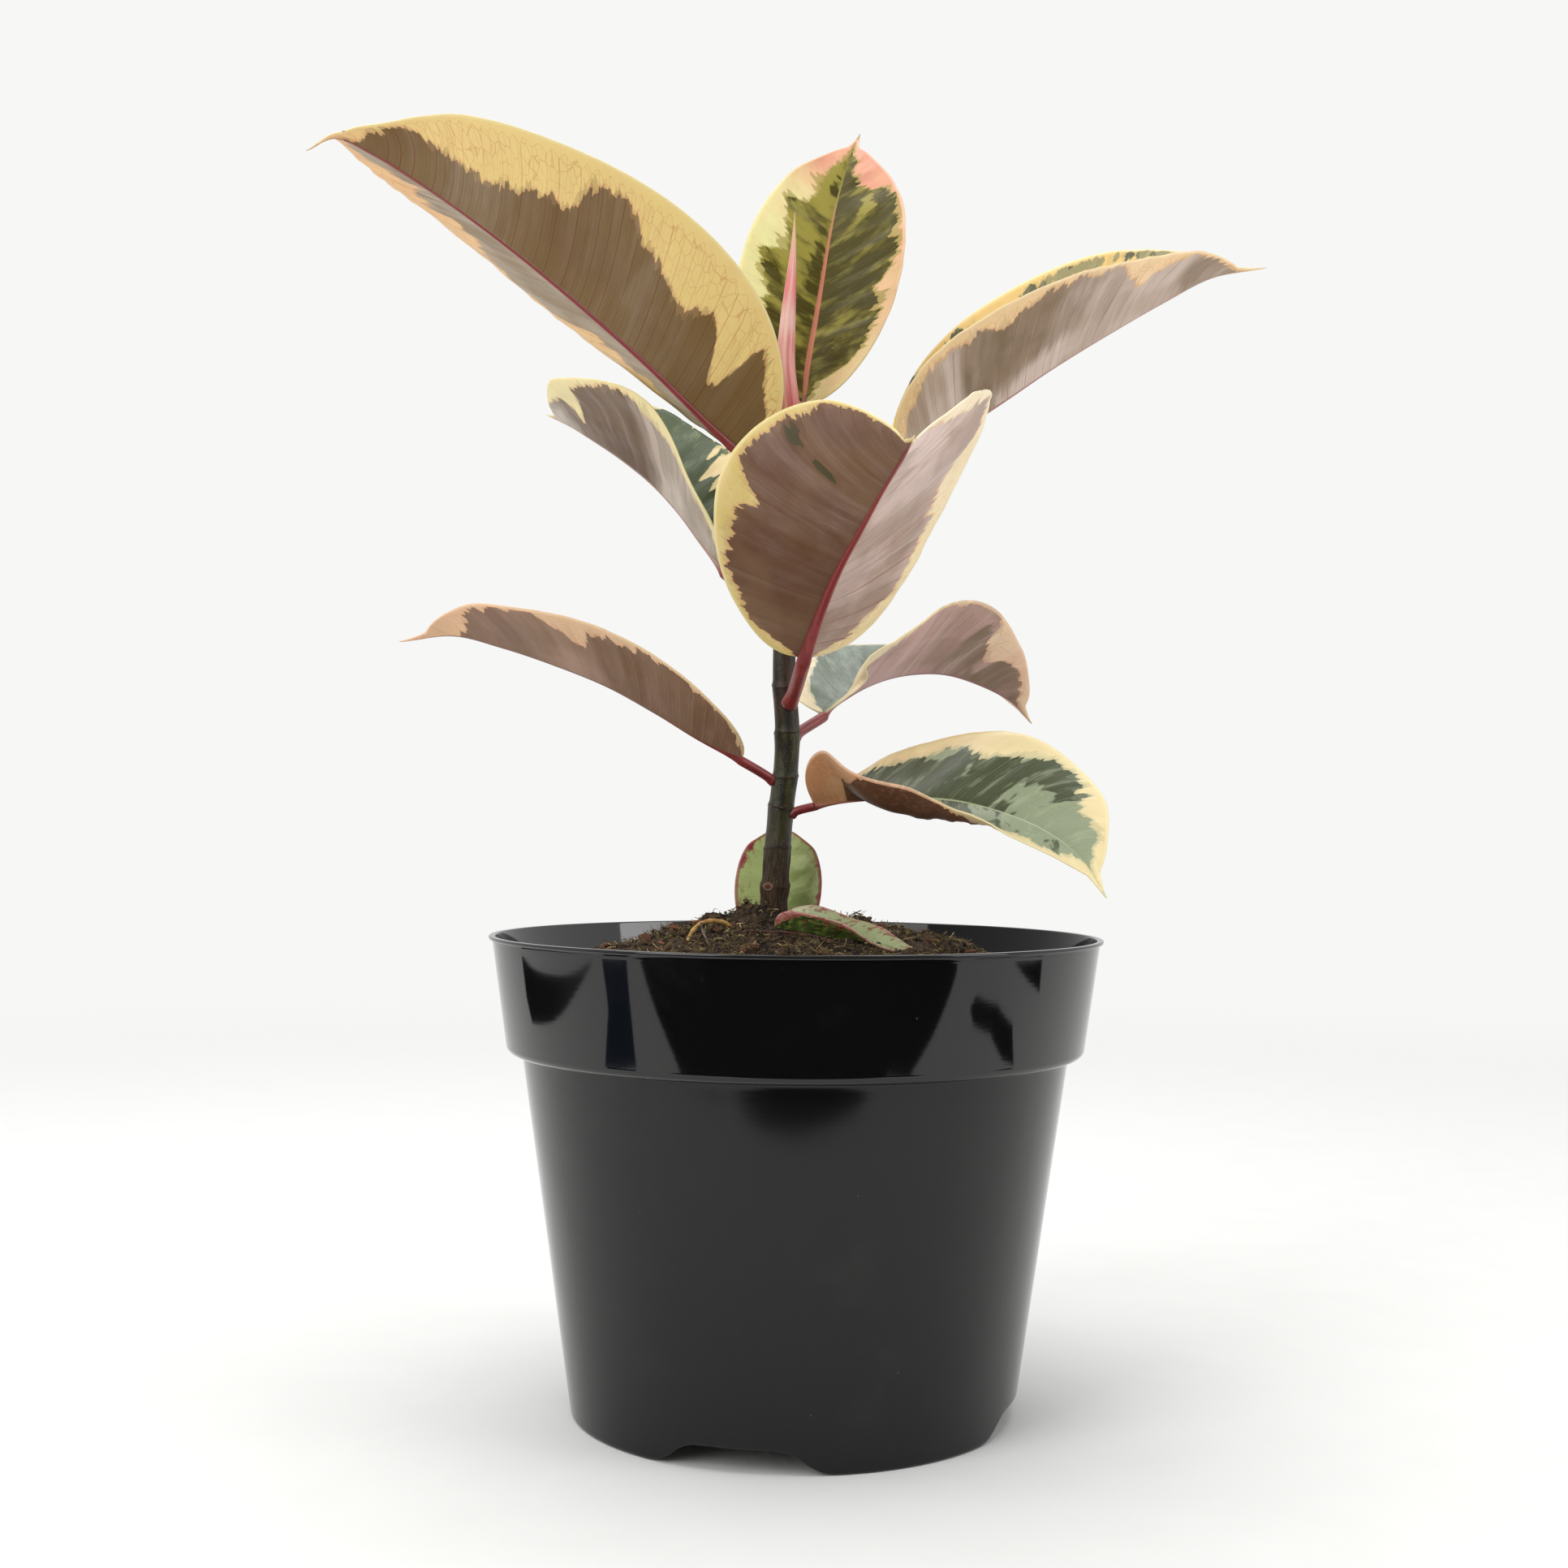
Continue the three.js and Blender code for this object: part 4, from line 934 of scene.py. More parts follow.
class LeafGrid:
    """A blade's points in rows that follow its veins, and what is known at each of them."""

    def __init__(self, leaf, seed):
        self.leaf, self.seed = leaf, seed
        self.length = Line(leaf["rib"]).length
        half = np.linspace(0, 1, HALF_COLUMNS + 1) ** COLUMN_CROWDING
        columns = np.concatenate([-half[::-1], half[1:]])[None, :]
        station, v = np.broadcast_arrays(stations(int(self.length / ROW_STEP))[:, None], columns)
        u = np.clip(station + VEIN_LEAN * np.sin(np.pi * station) * np.abs(v) ** 1.2, 0, 1)
        self.station, self.v, self.u = station, v, u
        self.side = np.sign(v)
        self.run = station * self.length
        sway = 0.3 * np.sin(self.run / 7.3 + seed + self.side)
        self.vein = self.run / VEIN_SPACING + sway + 0.12 * np.sin(self.run / 2.9 + 3 * seed - self.side)
        self.half = self.per_half(lambda half: half_width(leaf, half, u))
        self.across = v * self.half

    def per_half(self, read):
        """What read gives for the half that each point lies on."""
        return np.where(self.v < 0, read(self.leaf["left"]), read(self.leaf["right"]))

    def listed(self, key):
        """A value along the leaf, from the list of the half that each point lies on."""
        def read(half):
            values = np.asarray(half[key], float)
            if len(values) == 1:
                return np.full(self.station.shape, values[0])
            place = self.station * (len(values) - 1)
            low = np.minimum(place.astype(int), len(values) - 2)
            part = soft_step(place - low, 0, 1)
            return values[low] * (1 - part) + values[low + 1] * part
        return self.per_half(read)


# %% Relief of a blade
VEIN_RELIEF = 0.045  # mm
VEIN_HALF = 0.13  # of the distance between two veins
RIB_GROOVE = 0.2  # mm
RIB_GROOVE_HALF = 1.1  # mm
PLEAT = 0.2  # mm: how deep a blade folds along its veins, where its half says nothing else
PLEAT_SPACING = 11.0
BUCKLE = 0.3  # mm


def leaf_relief(grid):
    """How far each point stands out from the smooth blade: veins, the midrib's groove, folds and buckles."""
    run, side, seed = grid.run, grid.side, grid.seed
    out = np.abs(grid.v)
    off_centre = np.abs(np.mod(grid.vein, 1) - 0.5)
    ridge = np.exp(-(off_centre / VEIN_HALF) ** 2)
    ridge = ridge * soft_step(np.abs(grid.across), 0.4, 3) * soft_step(1 - out, 0.02, 0.2)
    groove = np.exp(-(grid.across / RIB_GROOVE_HALF) ** 2) * np.clip(1 - grid.station, 0, 1) ** 0.5
    depth = grid.per_half(lambda half: half.get("pleat", PLEAT))
    turn = run / PLEAT_SPACING + 0.45 * np.sin(run / 8.1 + 2 * seed + side) + 0.25 * out
    fading = soft_step(out, 0.02, 0.5) * (1 - 0.7 * soft_step(out, 0.6, 1))
    folds = depth * (np.sin(2 * np.pi * turn) + 0.4 * np.sin(4.6 * np.pi * turn + seed)) * fading
    furrow = grid.per_half(lambda half: half.get("furrow", 0.0))
    furrows = furrow * np.sin(2 * np.pi * 2.1 * out + run / 22 + seed) * soft_step(out, 0.05, 0.3)
    buckle = BUCKLE * np.sin(run / 11 + seed * 2) * np.sin(grid.v * 4 + seed) * soft_step(out, 0.3, 0.9)
    calm = soft_step(grid.station, 0, 0.12) * soft_step(1 - grid.station, DRIP_TIP_SHARE, 0.25)
    return -VEIN_RELIEF * ridge - RIB_GROOVE * groove + (folds + furrows + buckle) * calm


# %% Paint that a blade carries
TONES = {"light": 1.1, "dark": -0.1, "moss": -1.0}
LARGE_PATCH = 0.2  # a patch whose half length is a larger share of the leaf has a calmer edge


def leaf_paint(grid):
    """What the shader reads at each point: its place, how deep it lies in the heart, and its tone."""
    leaf, run, v = grid.leaf, grid.run, grid.v
    reach = (grid.listed("green") - np.abs(v)) * grid.half
    tone = grid.listed("tone")
    ragged = 0.28 * np.sin(run * 1.3 + 7 * v + grid.seed) + 0.2 * np.sin(run * 2.9 - 11 * v)
    ragged = ragged + 0.12 * np.sin(run * 5.3)
    for kind, place, out, half_along, half_out in leaf["patches"]:
        edge = (0.2 if half_along > LARGE_PATCH else 1.0) * ragged
        inside = 1 + edge - np.hypot((grid.station - place) / half_along, (v - out) / half_out)
        spot = 2 * inside * min(half_along * grid.length, half_out * leaf["right"]["width"])
        if kind == "green":
            reach = np.maximum(reach, spot)
        elif kind == "cream":
            reach = np.minimum(reach, -spot)
        else:
            tone = tone + (TONES[kind] - tone) * soft_step(inside, 0, 0.6)
    return {
        "leaf_place": np.stack([run, grid.across, grid.half - np.abs(grid.across)], -1),
        "leaf_paint": np.stack([reach, tone, grid.listed("blush")], -1),
        "leaf_vein": grid.vein,
    }


# %% A blade's mesh
BLADE_THICKNESS = 0.62


def leaf_rings(leaf, seed):
    """Closed rings round the blade: upper side, right rim, lower side, left rim."""
    grid = LeafGrid(leaf, seed)
    middle = blade_places(leaf, grid.u, grid.v)
    normal = unit(np.cross(np.gradient(middle, axis=1), np.gradient(middle, axis=0)))
    middle = middle + normal * leaf_relief(grid)[..., None]
    rows_left = np.linspace(1, 0, len(middle))[:, None]
    thin = 0.25 + 0.3 * soft_step(rows_left, 0, 0.04) + 0.45 * soft_step(rows_left, 0, 0.2)
    thin = (1 - 0.35 * np.abs(grid.v) ** 3) * thin
    half = normal * (BLADE_THICKNESS / 2 * thin)[..., None]
    outward = unit(middle[:, [0, -1]] - middle[:, [1, -2]]) * BLADE_THICKNESS * 0.3
    left, right = middle[:, :1] + outward[:, :1], middle[:, -1:] + outward[:, 1:]
    rings = np.concatenate([middle + half, right, (middle - half)[:, ::-1], left], axis=1)

    def round_the_rim(values):
        return np.concatenate([values, values[:, -1:], values[:, ::-1], values[:, :1]], axis=1)
    return rings, {label: round_the_rim(values) for label, values in leaf_paint(grid).items()}


def make_blade(leaf, seed, materials, node):
    """A blade whose underside has its own material, closed at base and tip."""
    rings, values = leaf_rings(leaf, seed)
    rows, count = rings.shape[:2]
    columns = (count - 2) // 2
    faces = ring_faces(rows, count)
    row_faces = np.arange(count)
    is_under = (row_faces >= columns + 1) & (row_faces < 2 * columns)
    face_materials = np.tile(is_under.astype(int), rows - 1).tolist()
    for first, turned in ((0, False), ((rows - 1) * count, True)):
        for k in range(columns - 1):
            low = 2 * columns - k
            corners = [first + k, first + low, first + low - 1, first + k + 1]
            faces.append(corners[::-1] if turned else corners)
        for tip in ((0, 2 * columns + 1, 2 * columns), (columns - 1, columns + 1, columns)):
            corners = [first + k for k in tip]
            faces.append(corners[::-1] if turned ^ (tip[0] > 0) else corners)
    face_materials += [0] * (len(faces) - len(face_materials))
    flat = {label: grid.reshape(rows * count, -1).squeeze() for label, grid in values.items()}
    outward_faces = [face[::-1] for face in faces]
    places = rings.reshape(-1, 3)
    make_piece(leaf["name"], places, outward_faces, materials, node, flat, face_materials)


print("veins", VEIN_SPACING, "mm apart, on a mesh with rows", ROW_STEP, "mm apart")

# %% [markdown]
# ## Effects that leaf finishes share
# Three effects are used on every leaf. Each is built once, as a node group with its own inputs, so a
# change to it reaches all the leaves. The veins are narrow lines of uneven strength, with fainter
# ones between them, an arched line that joins them near the margin, and a net of fine veins that shows
# in the cream parts. The ragged heart turns the smooth reach that the mesh carries into a crisp edge
# with teeth from vein to vein. Specks are the tiny dots that every leaf has.

# %% Veins


def make_veins():
    inputs = {"Place": None, "Vein": 0.0, "Width": 0.2}
    group, given, out = make_effect("leaf veins", inputs, ["Main", "Minor", "Arch", "Net"])
    width = given["Width"]
    _, across, edge = split(given["Place"])
    half = calc("ABSOLUTE", across) + edge
    side = calc("SIGN", across)
    waver = (clouds(given["Place"], 0.2) - 0.5) * 0.45 * ramp(edge, 12.0, 2.0, 0.15, 1.0)
    vein = given["Vein"] + waver

    def stripes(count, width, seed):
        """Lines at the middle of each count-th part of a vein's strip, each with its own strength."""
        place = vein * float(count)
        off = calc("ABSOLUTE", calc("FRACT", place) - 0.5) * (VEIN_SPACING / count)
        strength = ramp(chance_of(calc("FLOOR", place), side, seed), 0.0, 0.9, 0.2, 1.0)
        return ramp(off, width, width * 0.25) * strength
    bulge = ramp(calc("PINGPONG", vein, 0.5), 0.0, 0.5)
    off_arch = edge - (half * 0.05 + 0.7 + waver * 2.0 + bulge * (half * 0.05))
    inside = ramp(off_arch, -0.1, 0.3)
    feed(out["Arch"], ramp(calc("ABSOLUTE", off_arch), width * 0.8, 0.03))
    feed(out["Main"], stripes(1, width, 1.0) * inside)
    feed(out["Minor"], stripes(3, width * 0.6, 2.0) * inside)
    spot = vector((given["Vein"] + waver * 0.4) * 1.35, across / 3.4, side)
    cells = {"Vector": spot, "Scale": 1.0, "Randomness": 0.7}
    to_edge = wired("ShaderNodeTexVoronoi", cells, "Distance", feature="DISTANCE_TO_EDGE")
    net = ramp(to_edge, 0.042, 0.0) * inside
    feed(out["Net"], net * ramp(edge, 15.0, 7.0, 0.3, 1.0))
    return group


# %% Ragged heart
HEART_EDGE = 0.75  # mm of cream that stays at the edge, unless the heart is meant to run over it


def make_ragged_heart():
    inputs = {"Place": None, "Reach": 0.0, "Vein": 0.0, "Lobes": 5.0, "Teeth": 4.5, "Seed": 0.0}
    group, given, out = make_effect("ragged heart", inputs, ["Mask", "Near"])
    run, across, edge = split(given["Place"])
    half = calc("ABSOLUTE", across) + edge
    reach, vein, seed, side = given["Reach"], given["Vein"], given["Seed"], calc("SIGN", across)

    def rough(vein_scale, across_scale, detail, amount):
        place = vector(vein * vein_scale, across * across_scale, seed + side)
        return (clouds(place, 1.0, detail, 0.6) - 0.5) * amount
    wobble = clouds(vector(run, across * 0.3, seed), 0.35)
    strip = calc("FLOOR", vein * 1.9 + wobble)
    ragged = (chance_of(strip, side, seed) - 0.5) * 1.9
    ragged = ragged + rough(0.45, 0.02, 1.0, given["Lobes"])
    ragged = ragged + rough(2.0, 0.08, 1.0, given["Teeth"])
    ragged = ragged + rough(5.0, 0.4, 3.0, 1.8)
    depth = reach + ragged * ramp(half, 1.0, 14.0, 0.1, 1.0)
    past_edge = calc("MAXIMUM", reach - edge, 0.0)
    depth = calc("MINIMUM", depth, edge - HEART_EDGE + past_edge * 20.0)
    feed(out["Mask"], ramp(depth, -0.12, 0.12))
    feed(out["Near"], ramp(depth, -1.3, -0.1))
    return group


# %% Specks


def round_cells(place, scale):
    """Voronoi cells: how far each point lies from its cell's middle, and a random number for the cell."""
    outputs = placed("ShaderNodeTexVoronoi", {"Vector": place, "Scale": scale}, feature="F1").outputs
    return Wire(outputs["Distance"]), split(Wire(outputs["Color"]))[0]


def make_specks():
    inputs = {"Place": None, "Spacing": 3.0, "Share": 0.3, "Size": 0.16, "Seed": 0.0}
    group, given, out = make_effect("specks", inputs, ["Dot"])
    run, across, _ = split(given["Place"])
    spacing, size = given["Spacing"], given["Size"]
    away, chance = round_cells(vector(run / spacing, across / spacing, given["Seed"]), 1.0)
    kept = calc("LESS_THAN", chance, given["Share"])
    feed(out["Dot"], ramp(away * spacing, size, size * 0.5) * kept)
    return group


VEINS, RAGGED_HEART, SPECKS = make_veins(), make_ragged_heart(), make_specks()
print("effects", [group.name for group in bpy.data.node_groups])

# %% [markdown]
# ## The finish of a leaf
# A variegated leaf has a green heart and a cream margin without green, which blushes salmon towards the
# tip. Seen from below the heart is brown to mauve, because red pigment lies over the green. Above it
# is dark green with grey-green feathers, thick and glossy. Below it is duller, with a greyish sheen
# painted in streaks along the veins where it would catch the light, and dark streaks of painted shade.
# The blade has two green layers that end in different places, so round the heart there are half-tone
# patches, where only one of them is left. Both sides are made by the same functions from the leaf's
# own colours, one layer of stain after the other, as a painter would.

# %% What a leaf's finish reads


class LeafSide:
    """One side of a leaf: its material, and what the mesh and the effects say at each point."""

    def __init__(self, leaf, seed, is_upper):
        self.leaf, self.seed, self.is_upper = leaf, seed, is_upper
        name = leaf["name"] + (" upper" if is_upper else " underside")
        self.material, tree, self.shader = make_material(name)
        self.place = carried(tree, "leaf_place")
        self.run, self.across, self.edge = split(self.place)
        self.reach, self.tone, self.blush = split(carried(tree, "leaf_paint"))
        self.vein = carried(tree, "leaf_vein", "Fac")
        self.side = calc("SIGN", self.across)
        self.half = calc("ABSOLUTE", self.across) + self.edge
        self.dark, self.light = leaf["over"] if is_upper else leaf["under"]
        self.cloud = clouds(self.place, 0.09, 3.0)
        self.feathers = self.streaks(0.5, 0.07, 3.0, 0.0)
        self.lines = use_effect(VEINS, Place=self.place, Vein=self.vein, Width=0.14)
        here = {"Place": self.place, "Vein": self.vein}
        heart = use_effect(RAGGED_HEART, Reach=self.reach, Seed=float(seed), **here)
        self.heart, self.near_heart = heart["Mask"], heart["Near"]
        wider = {"Reach": self.reach + 0.6, "Lobes": 9.0, "Teeth": 8.0, "Seed": seed + 40.0}
        self.ghost = use_effect(RAGGED_HEART, **wider, **here)["Mask"]

    def streaks(self, vein_scale, across_scale, detail, shift):
        """Noise that is drawn out along the veins."""
        shifted = self.side + (self.seed * 3.0 + shift)
        return clouds(vector(self.vein * vein_scale, self.across * across_scale, shifted), 1.0, detail, 0.6)

    def dots(self, **values):
        return use_effect(SPECKS, Place=self.place, **values)["Dot"]


# %% The heart and the margin
FEATHER_STIR = 2.4
USUAL_LINES = 0.7


def upper_heart(s):
    """Dark green with grey-green feathers and pale veins."""
    leaf, soft = s.leaf, s.leaf.get("soft", 0.08)
    level = s.tone + (s.feathers - 0.5) * FEATHER_STIR
    skin = mix(ramp(level, 0.5 - soft, 0.5 + soft), s.dark, s.light)
    skin = stained(skin, leaf["pale"], ramp(s.streaks(1.2, 0.1, 4.0, 8.0), 0.5, 0.75), 0.35)
    skin = stained(skin, leaf["pale"], s.lines["Main"], 0.15)
    return stained(skin, leaf["pale"], s.lines["Minor"], 0.08)


def lower_heart(s):
    """Brown to mauve, clouded, with a greyish sheen and dark streaks of shade painted along the veins, and
    dark veins.
    """
    leaf, lines = s.leaf, s.leaf.get("lines", USUAL_LINES)
    level = s.tone + (s.feathers - 0.5) * leaf.get("stir", 0.8)
    skin = mix(ramp(level, 0.0, 1.0), s.dark, s.light)
    skin = stained(skin, s.light, ramp(clouds(s.place, 0.8, 3.0), 0.53, 0.6), leaf.get("fleck", 0.0))
    skin = stained(skin, leaf["tint"], ramp(clouds(s.place, 0.055, 2.0), 0.38, 0.62), 0.5)
    skin = stained(skin, "#47452c", ramp(level, -0.3, -0.5), 0.9)
    # Painted sheen: a greyish highlight in streaks along the veins, stronger where the tone is mauve.
    painted_sheen = ramp(s.streaks(0.7, 0.016, 2.0, 9.0), 0.48, 0.7) * ramp(s.tone, 0.0, 0.9, 0.12, 1.0)
    skin = stained(skin, "#ccb8ad", painted_sheen, leaf["sheen"])
    # Painted shade: dark streaks along the veins, which go with the painted sheen.
    skin = stained(skin, s.dark, ramp(s.streaks(0.9, 0.03, 3.0, 15.0), 0.5, 0.7), 0.2)
    skin = stained(skin, leaf["vein"], s.lines["Main"], lines)
    return stained(skin, leaf["vein"], s.lines["Minor"], lines / 2)


def leaf_margin(s):
    """Cream to salmon, with fine veins, a darker seam near the heart and a rim; a pale rim is partly painted
    highlight.
    """
    leaf, net, trace = s.leaf, s.leaf.get("net", 0.2), s.leaf.get("trace", "#c8804a")
    seen = net * (0.3 if s.is_upper else 1.0)
    skin = mix(calc("ADD", s.blush, (s.cloud - 0.5) * 0.8, clamp=True), leaf["cream"], leaf["salmon"])
    streaked = ramp(s.streaks(1.0, 0.1, 4.0, 21.0), 0.45, 0.8)
    skin = stained(skin, s.light if s.is_upper else "#e7b07c", streaked, 0.2)
    skin = stained(skin, trace, s.lines["Net"], seen)
    skin = stained(skin, trace, s.lines["Arch"], seen)
    if s.is_upper:
        skin = stained(skin, s.light, s.near_heart, 0.35)
    else:
        skin = stained(skin, "#d99d74", s.near_heart, 0.5)
    # The rim at the very edge: the small leaves' own red or pink line, elsewhere a pale line that is partly
    # the margin's own colour and partly a painted edge highlight.
    rim = mix(s.blush, "#efe0a6", leaf.get("rim", "#ecc0a4"))
    skin = stained(skin, rim, ramp(s.edge, 0.8, 0.15), 0.6)
    if s.is_upper:
        return stained(skin, "#fff6d8", s.lines["Main"], 0.12)
    skin = stained(skin, trace, s.lines["Main"], 0.1 + 1.1 * net)
    return stained(skin, trace, s.lines["Minor"], 0.4 * net)


# %% Patches, specks and midrib


def joined_halves(s, heart, margin):
    """The heart in its margin, with the half-tone patches where only one green layer is left."""
    amount = s.leaf["ghost"]
    halfway = mix(0.75, margin, s.light) if s.is_upper else mix(0.5, margin, s.dark)
    skin = mix(s.heart, stained(margin, halfway, s.ghost, amount), heart)
    thinned = s.light if s.is_upper else mix(0.3, heart, margin)
    return stained(skin, thinned, s.heart * (1.0 - s.ghost), 0.8 * amount)


def with_specks(s, skin):
    dots = s.dots(Seed=float(s.seed), Spacing=s.leaf.get("specks", 3.0), Share=0.25)
    skin = stained(skin, "#33261a", dots * ramp(s.half, 2.0, 4.0), 0.5)
    if s.is_upper:
        dots = s.dots(Seed=s.seed + 5.5, Spacing=2.3, Share=0.45, Size=0.13)
        skin = stained(skin, "#f0eedd", dots * s.heart, 0.5)
    if "blotch" in s.leaf:
        blots = clouds(vector(s.run, s.across * 1.3, s.seed), 0.55, 4.0, 0.65)
        blots = ramp(blots + ramp(s.edge, 6.0, 0.5, -0.06, 0.05), 0.57, 0.63)
        skin = stained(skin, "#8f3438", blots, s.leaf["blotch"])
    return skin


def with_midrib(s, skin):
    """The midrib narrows with the blade, and is lost in it at the very tip."""
    length = Line(s.leaf["rib"]).length
    width = ramp(s.half, 0.0, 20.0, 0.1, s.leaf.get("rib_half", 0.7) if s.is_upper else 0.45)
    above, rib = s.leaf["rib_skin"]
    if s.is_upper:
        width = width * ramp(s.run, 0.0, length, 1.8, 0.4)
        rib = mix(ramp(s.run, 0.5 * length, 0.8 * length), above, s.leaf["pale"])
    off_rib = calc("ABSOLUTE", s.across) / width
    on_rib = ramp(off_rib, 1.2, 0.75) * ramp(s.run, 0.98 * length, 0.88 * length)
    return stained(skin, rib, on_rib, 0.85)


# %% Both sides of a leaf


def make_leaf_side(leaf, seed, is_upper):
    s = LeafSide(leaf, seed, is_upper)
    heart = upper_heart(s) if is_upper else lower_heart(s)
    skin = with_midrib(s, with_specks(s, joined_halves(s, heart, leaf_margin(s))))
    sunk = s.lines["Main"] * 0.5 + s.lines["Minor"] * 0.2
    relief = clouds(s.place, 2.2, 3.0, 0.6) * 0.35 - sunk * ramp(s.heart, 0.0, 1.0, 0.25, 1.0)
    gloss = leaf.get("gloss", 0.45)
    if is_upper:
        dress(
            s.shader, Roughness=ramp(s.cloud, 0.3, 0.7, 0.27, 0.36), Specular_IOR_Level=gloss,
            Coat_Weight=0.3 * gloss, Normal=bump(relief, 0.00012),
        )
    else:
        dress(
            s.shader, Roughness=ramp(s.feathers, 0.3, 0.7, 0.4, 0.55), Specular_IOR_Level=0.35,
            Coat_Weight=0.0, Normal=bump(relief, 0.00005),
        )
    dress(s.shader, Base_Color=skin, Coat_Roughness=0.22)
    return s.material


def make_leaves():
    for seed, leaf in enumerate(LEAVES + BASE_LEAVES):
        sides = [make_leaf_side(leaf, seed, is_upper) for is_upper in (True, False)]
        make_blade(leaf, seed, sides, leaf.get("node", leaf["name"] + "_blade"))


make_leaves()

# %% [markdown]
# ## Stem
# The stem is a tapering, slightly bent rod with a raised ring at each scar of a fallen or living leaf,
# and it swells a little below each ring. Its bark is olive and smooth near the top. Towards the foot it
# turns brown, knotty and cracked lengthways, with small pale pores all over. A round bud scar sits low
# on its front. A plain tube with bump would look as round as a pipe at its outline, so rings, knots
# and cracks are moved out of the tube's own skin, which also carries where they are for the bark.

# %% Stem bark
STEM_LINE = [
    [-6.5, 1, 100], [-6.4, 0, 125], [-5.3, 0, 148], [-4.4, 0, 160], [-3.1, 0, 172],
    [-2.8, 0, 182], [-3.8, 0, 196], [-3.6, 1, 215], [-3, 2, 238], [-2.8, 1, 258],
]
STEM_RADII = [4.2, 4.1, 3.7, 3.6, 3.5, 3.5, 3.3, 3.1, 2.9, 2.5]
STEM_NODES = [140, 150, 161, 169.5, 181, 194, 212, 224, 238]
STEM_ROWS = 460
STEM_SIDES = 96
BUD_SCAR = (4.3, 139.5)  # radians round the stem, and height
BUD_SCAR_RADIUS = 1.25
SCAR_MARK = 1.001  # marks above 1 are the bud scar's, those below it are the rings'


def make_stem_bark():
    material, tree, shader = make_material("stem bark")
    angle, height, marks = split(carried(tree, "stem_place"))
    ring, scar = calc("FRACT", marks), calc("GREATER_THAN", marks, 1.0)
    round_x, round_y = calc("COSINE", angle), calc("SINE", angle)

    def bark_noise(fine_round, fine_up, detail, shift):
        """Noise that has no seam round the stem."""
        spot = vector(round_x * fine_round, round_y * fine_round, height * fine_up + shift)
        return clouds(spot, 1.0, detail, 0.65)
    grain = bark_noise(9.0, 0.22, 4.0, 0.0)
    blotch = bark_noise(1.3, 0.12, 3.0, 40.0)
    fine = bark_noise(6.0, 1.6, 4.0, 80.0)
    age = ramp(height + blotch * 16.0, 168.0, 146.0)
    young = mix(ramp(blotch, 0.4, 0.6), "#201c0d", "#3a3a1b")
    middle_part = mix(ramp(blotch, 0.4, 0.6), "#20180d", "#382414")
    young = mix(ramp(height, 180.0, 188.0), young, middle_part)
    old = mix(ramp(grain, 0.35, 0.65), "#20150b", "#574129")
    bark = mix(age, young, old)
    bark = mix(ramp(height, 222.0, 240.0, 0.0, 0.8), bark, "#4d4b22")
    bark = stained(bark, "#17110a", ramp(grain, 0.55, 0.7) * age, 0.4)
    bark = stained(bark, "#6e604a", ramp(fine, 0.6, 0.72), 0.2)
    # Each ring is dark, partly its own dark brown and partly painted shade, and paler at its crest, partly a
    # painted highlight.
    bark = stained(bark, "#241410", ramp(ring, 0.1, 0.4), 0.5)
    bark = stained(bark, "#6f5c42", ramp(ring, 0.7, 0.95), 0.5)
    bark = stained(bark, mix(ring, "#5a251c", "#8d7a60"), scar, 0.75)
    pores = use_effect(SPECKS, Place=vector(angle * 3.5, height), Spacing=1.5, Share=0.5)["Dot"]
    bark = stained(bark, "#a3947a", pores, 0.6)
    relief = grain * ramp(age, 0.0, 1.0, 0.15, 1.0) + (fine * 0.3 + pores * 0.15)
    dress(
        shader, Base_Color=bark, Roughness=ramp(age, 0.0, 1.0, 0.33, 0.7), Specular_IOR_Level=0.35,
        Normal=bump(relief, 0.0005),
    )
    return material


# %% Stem shape
RING_RELIEF = 0.16
RING_SWELL = 0.22
STEM_SHRINK = 0.15  # mm: room for what stands out from the stem


def bell(away, half):
    """1 where away is 0, fading to nothing at about twice half."""
    return np.exp(-((away / half) ** 2))


class StemLine:
    """The stem's middle and radius at a height."""

    def __init__(self):
        self.dense = Line(STEM_LINE, steps=200).dense
        self.heights = np.asarray(STEM_LINE, float)[:, 2]

    def at(self, height):
        x, y = (np.interp(height, self.dense[:, 2], self.dense[:, k]) for k in (0, 1))
        step = np.interp(height, self.heights, np.linspace(0, 1, len(STEM_LINE)))
        return np.stack([x, y, np.asarray(height, float)], -1), along(STEM_RADII, step)


STEM = StemLine()


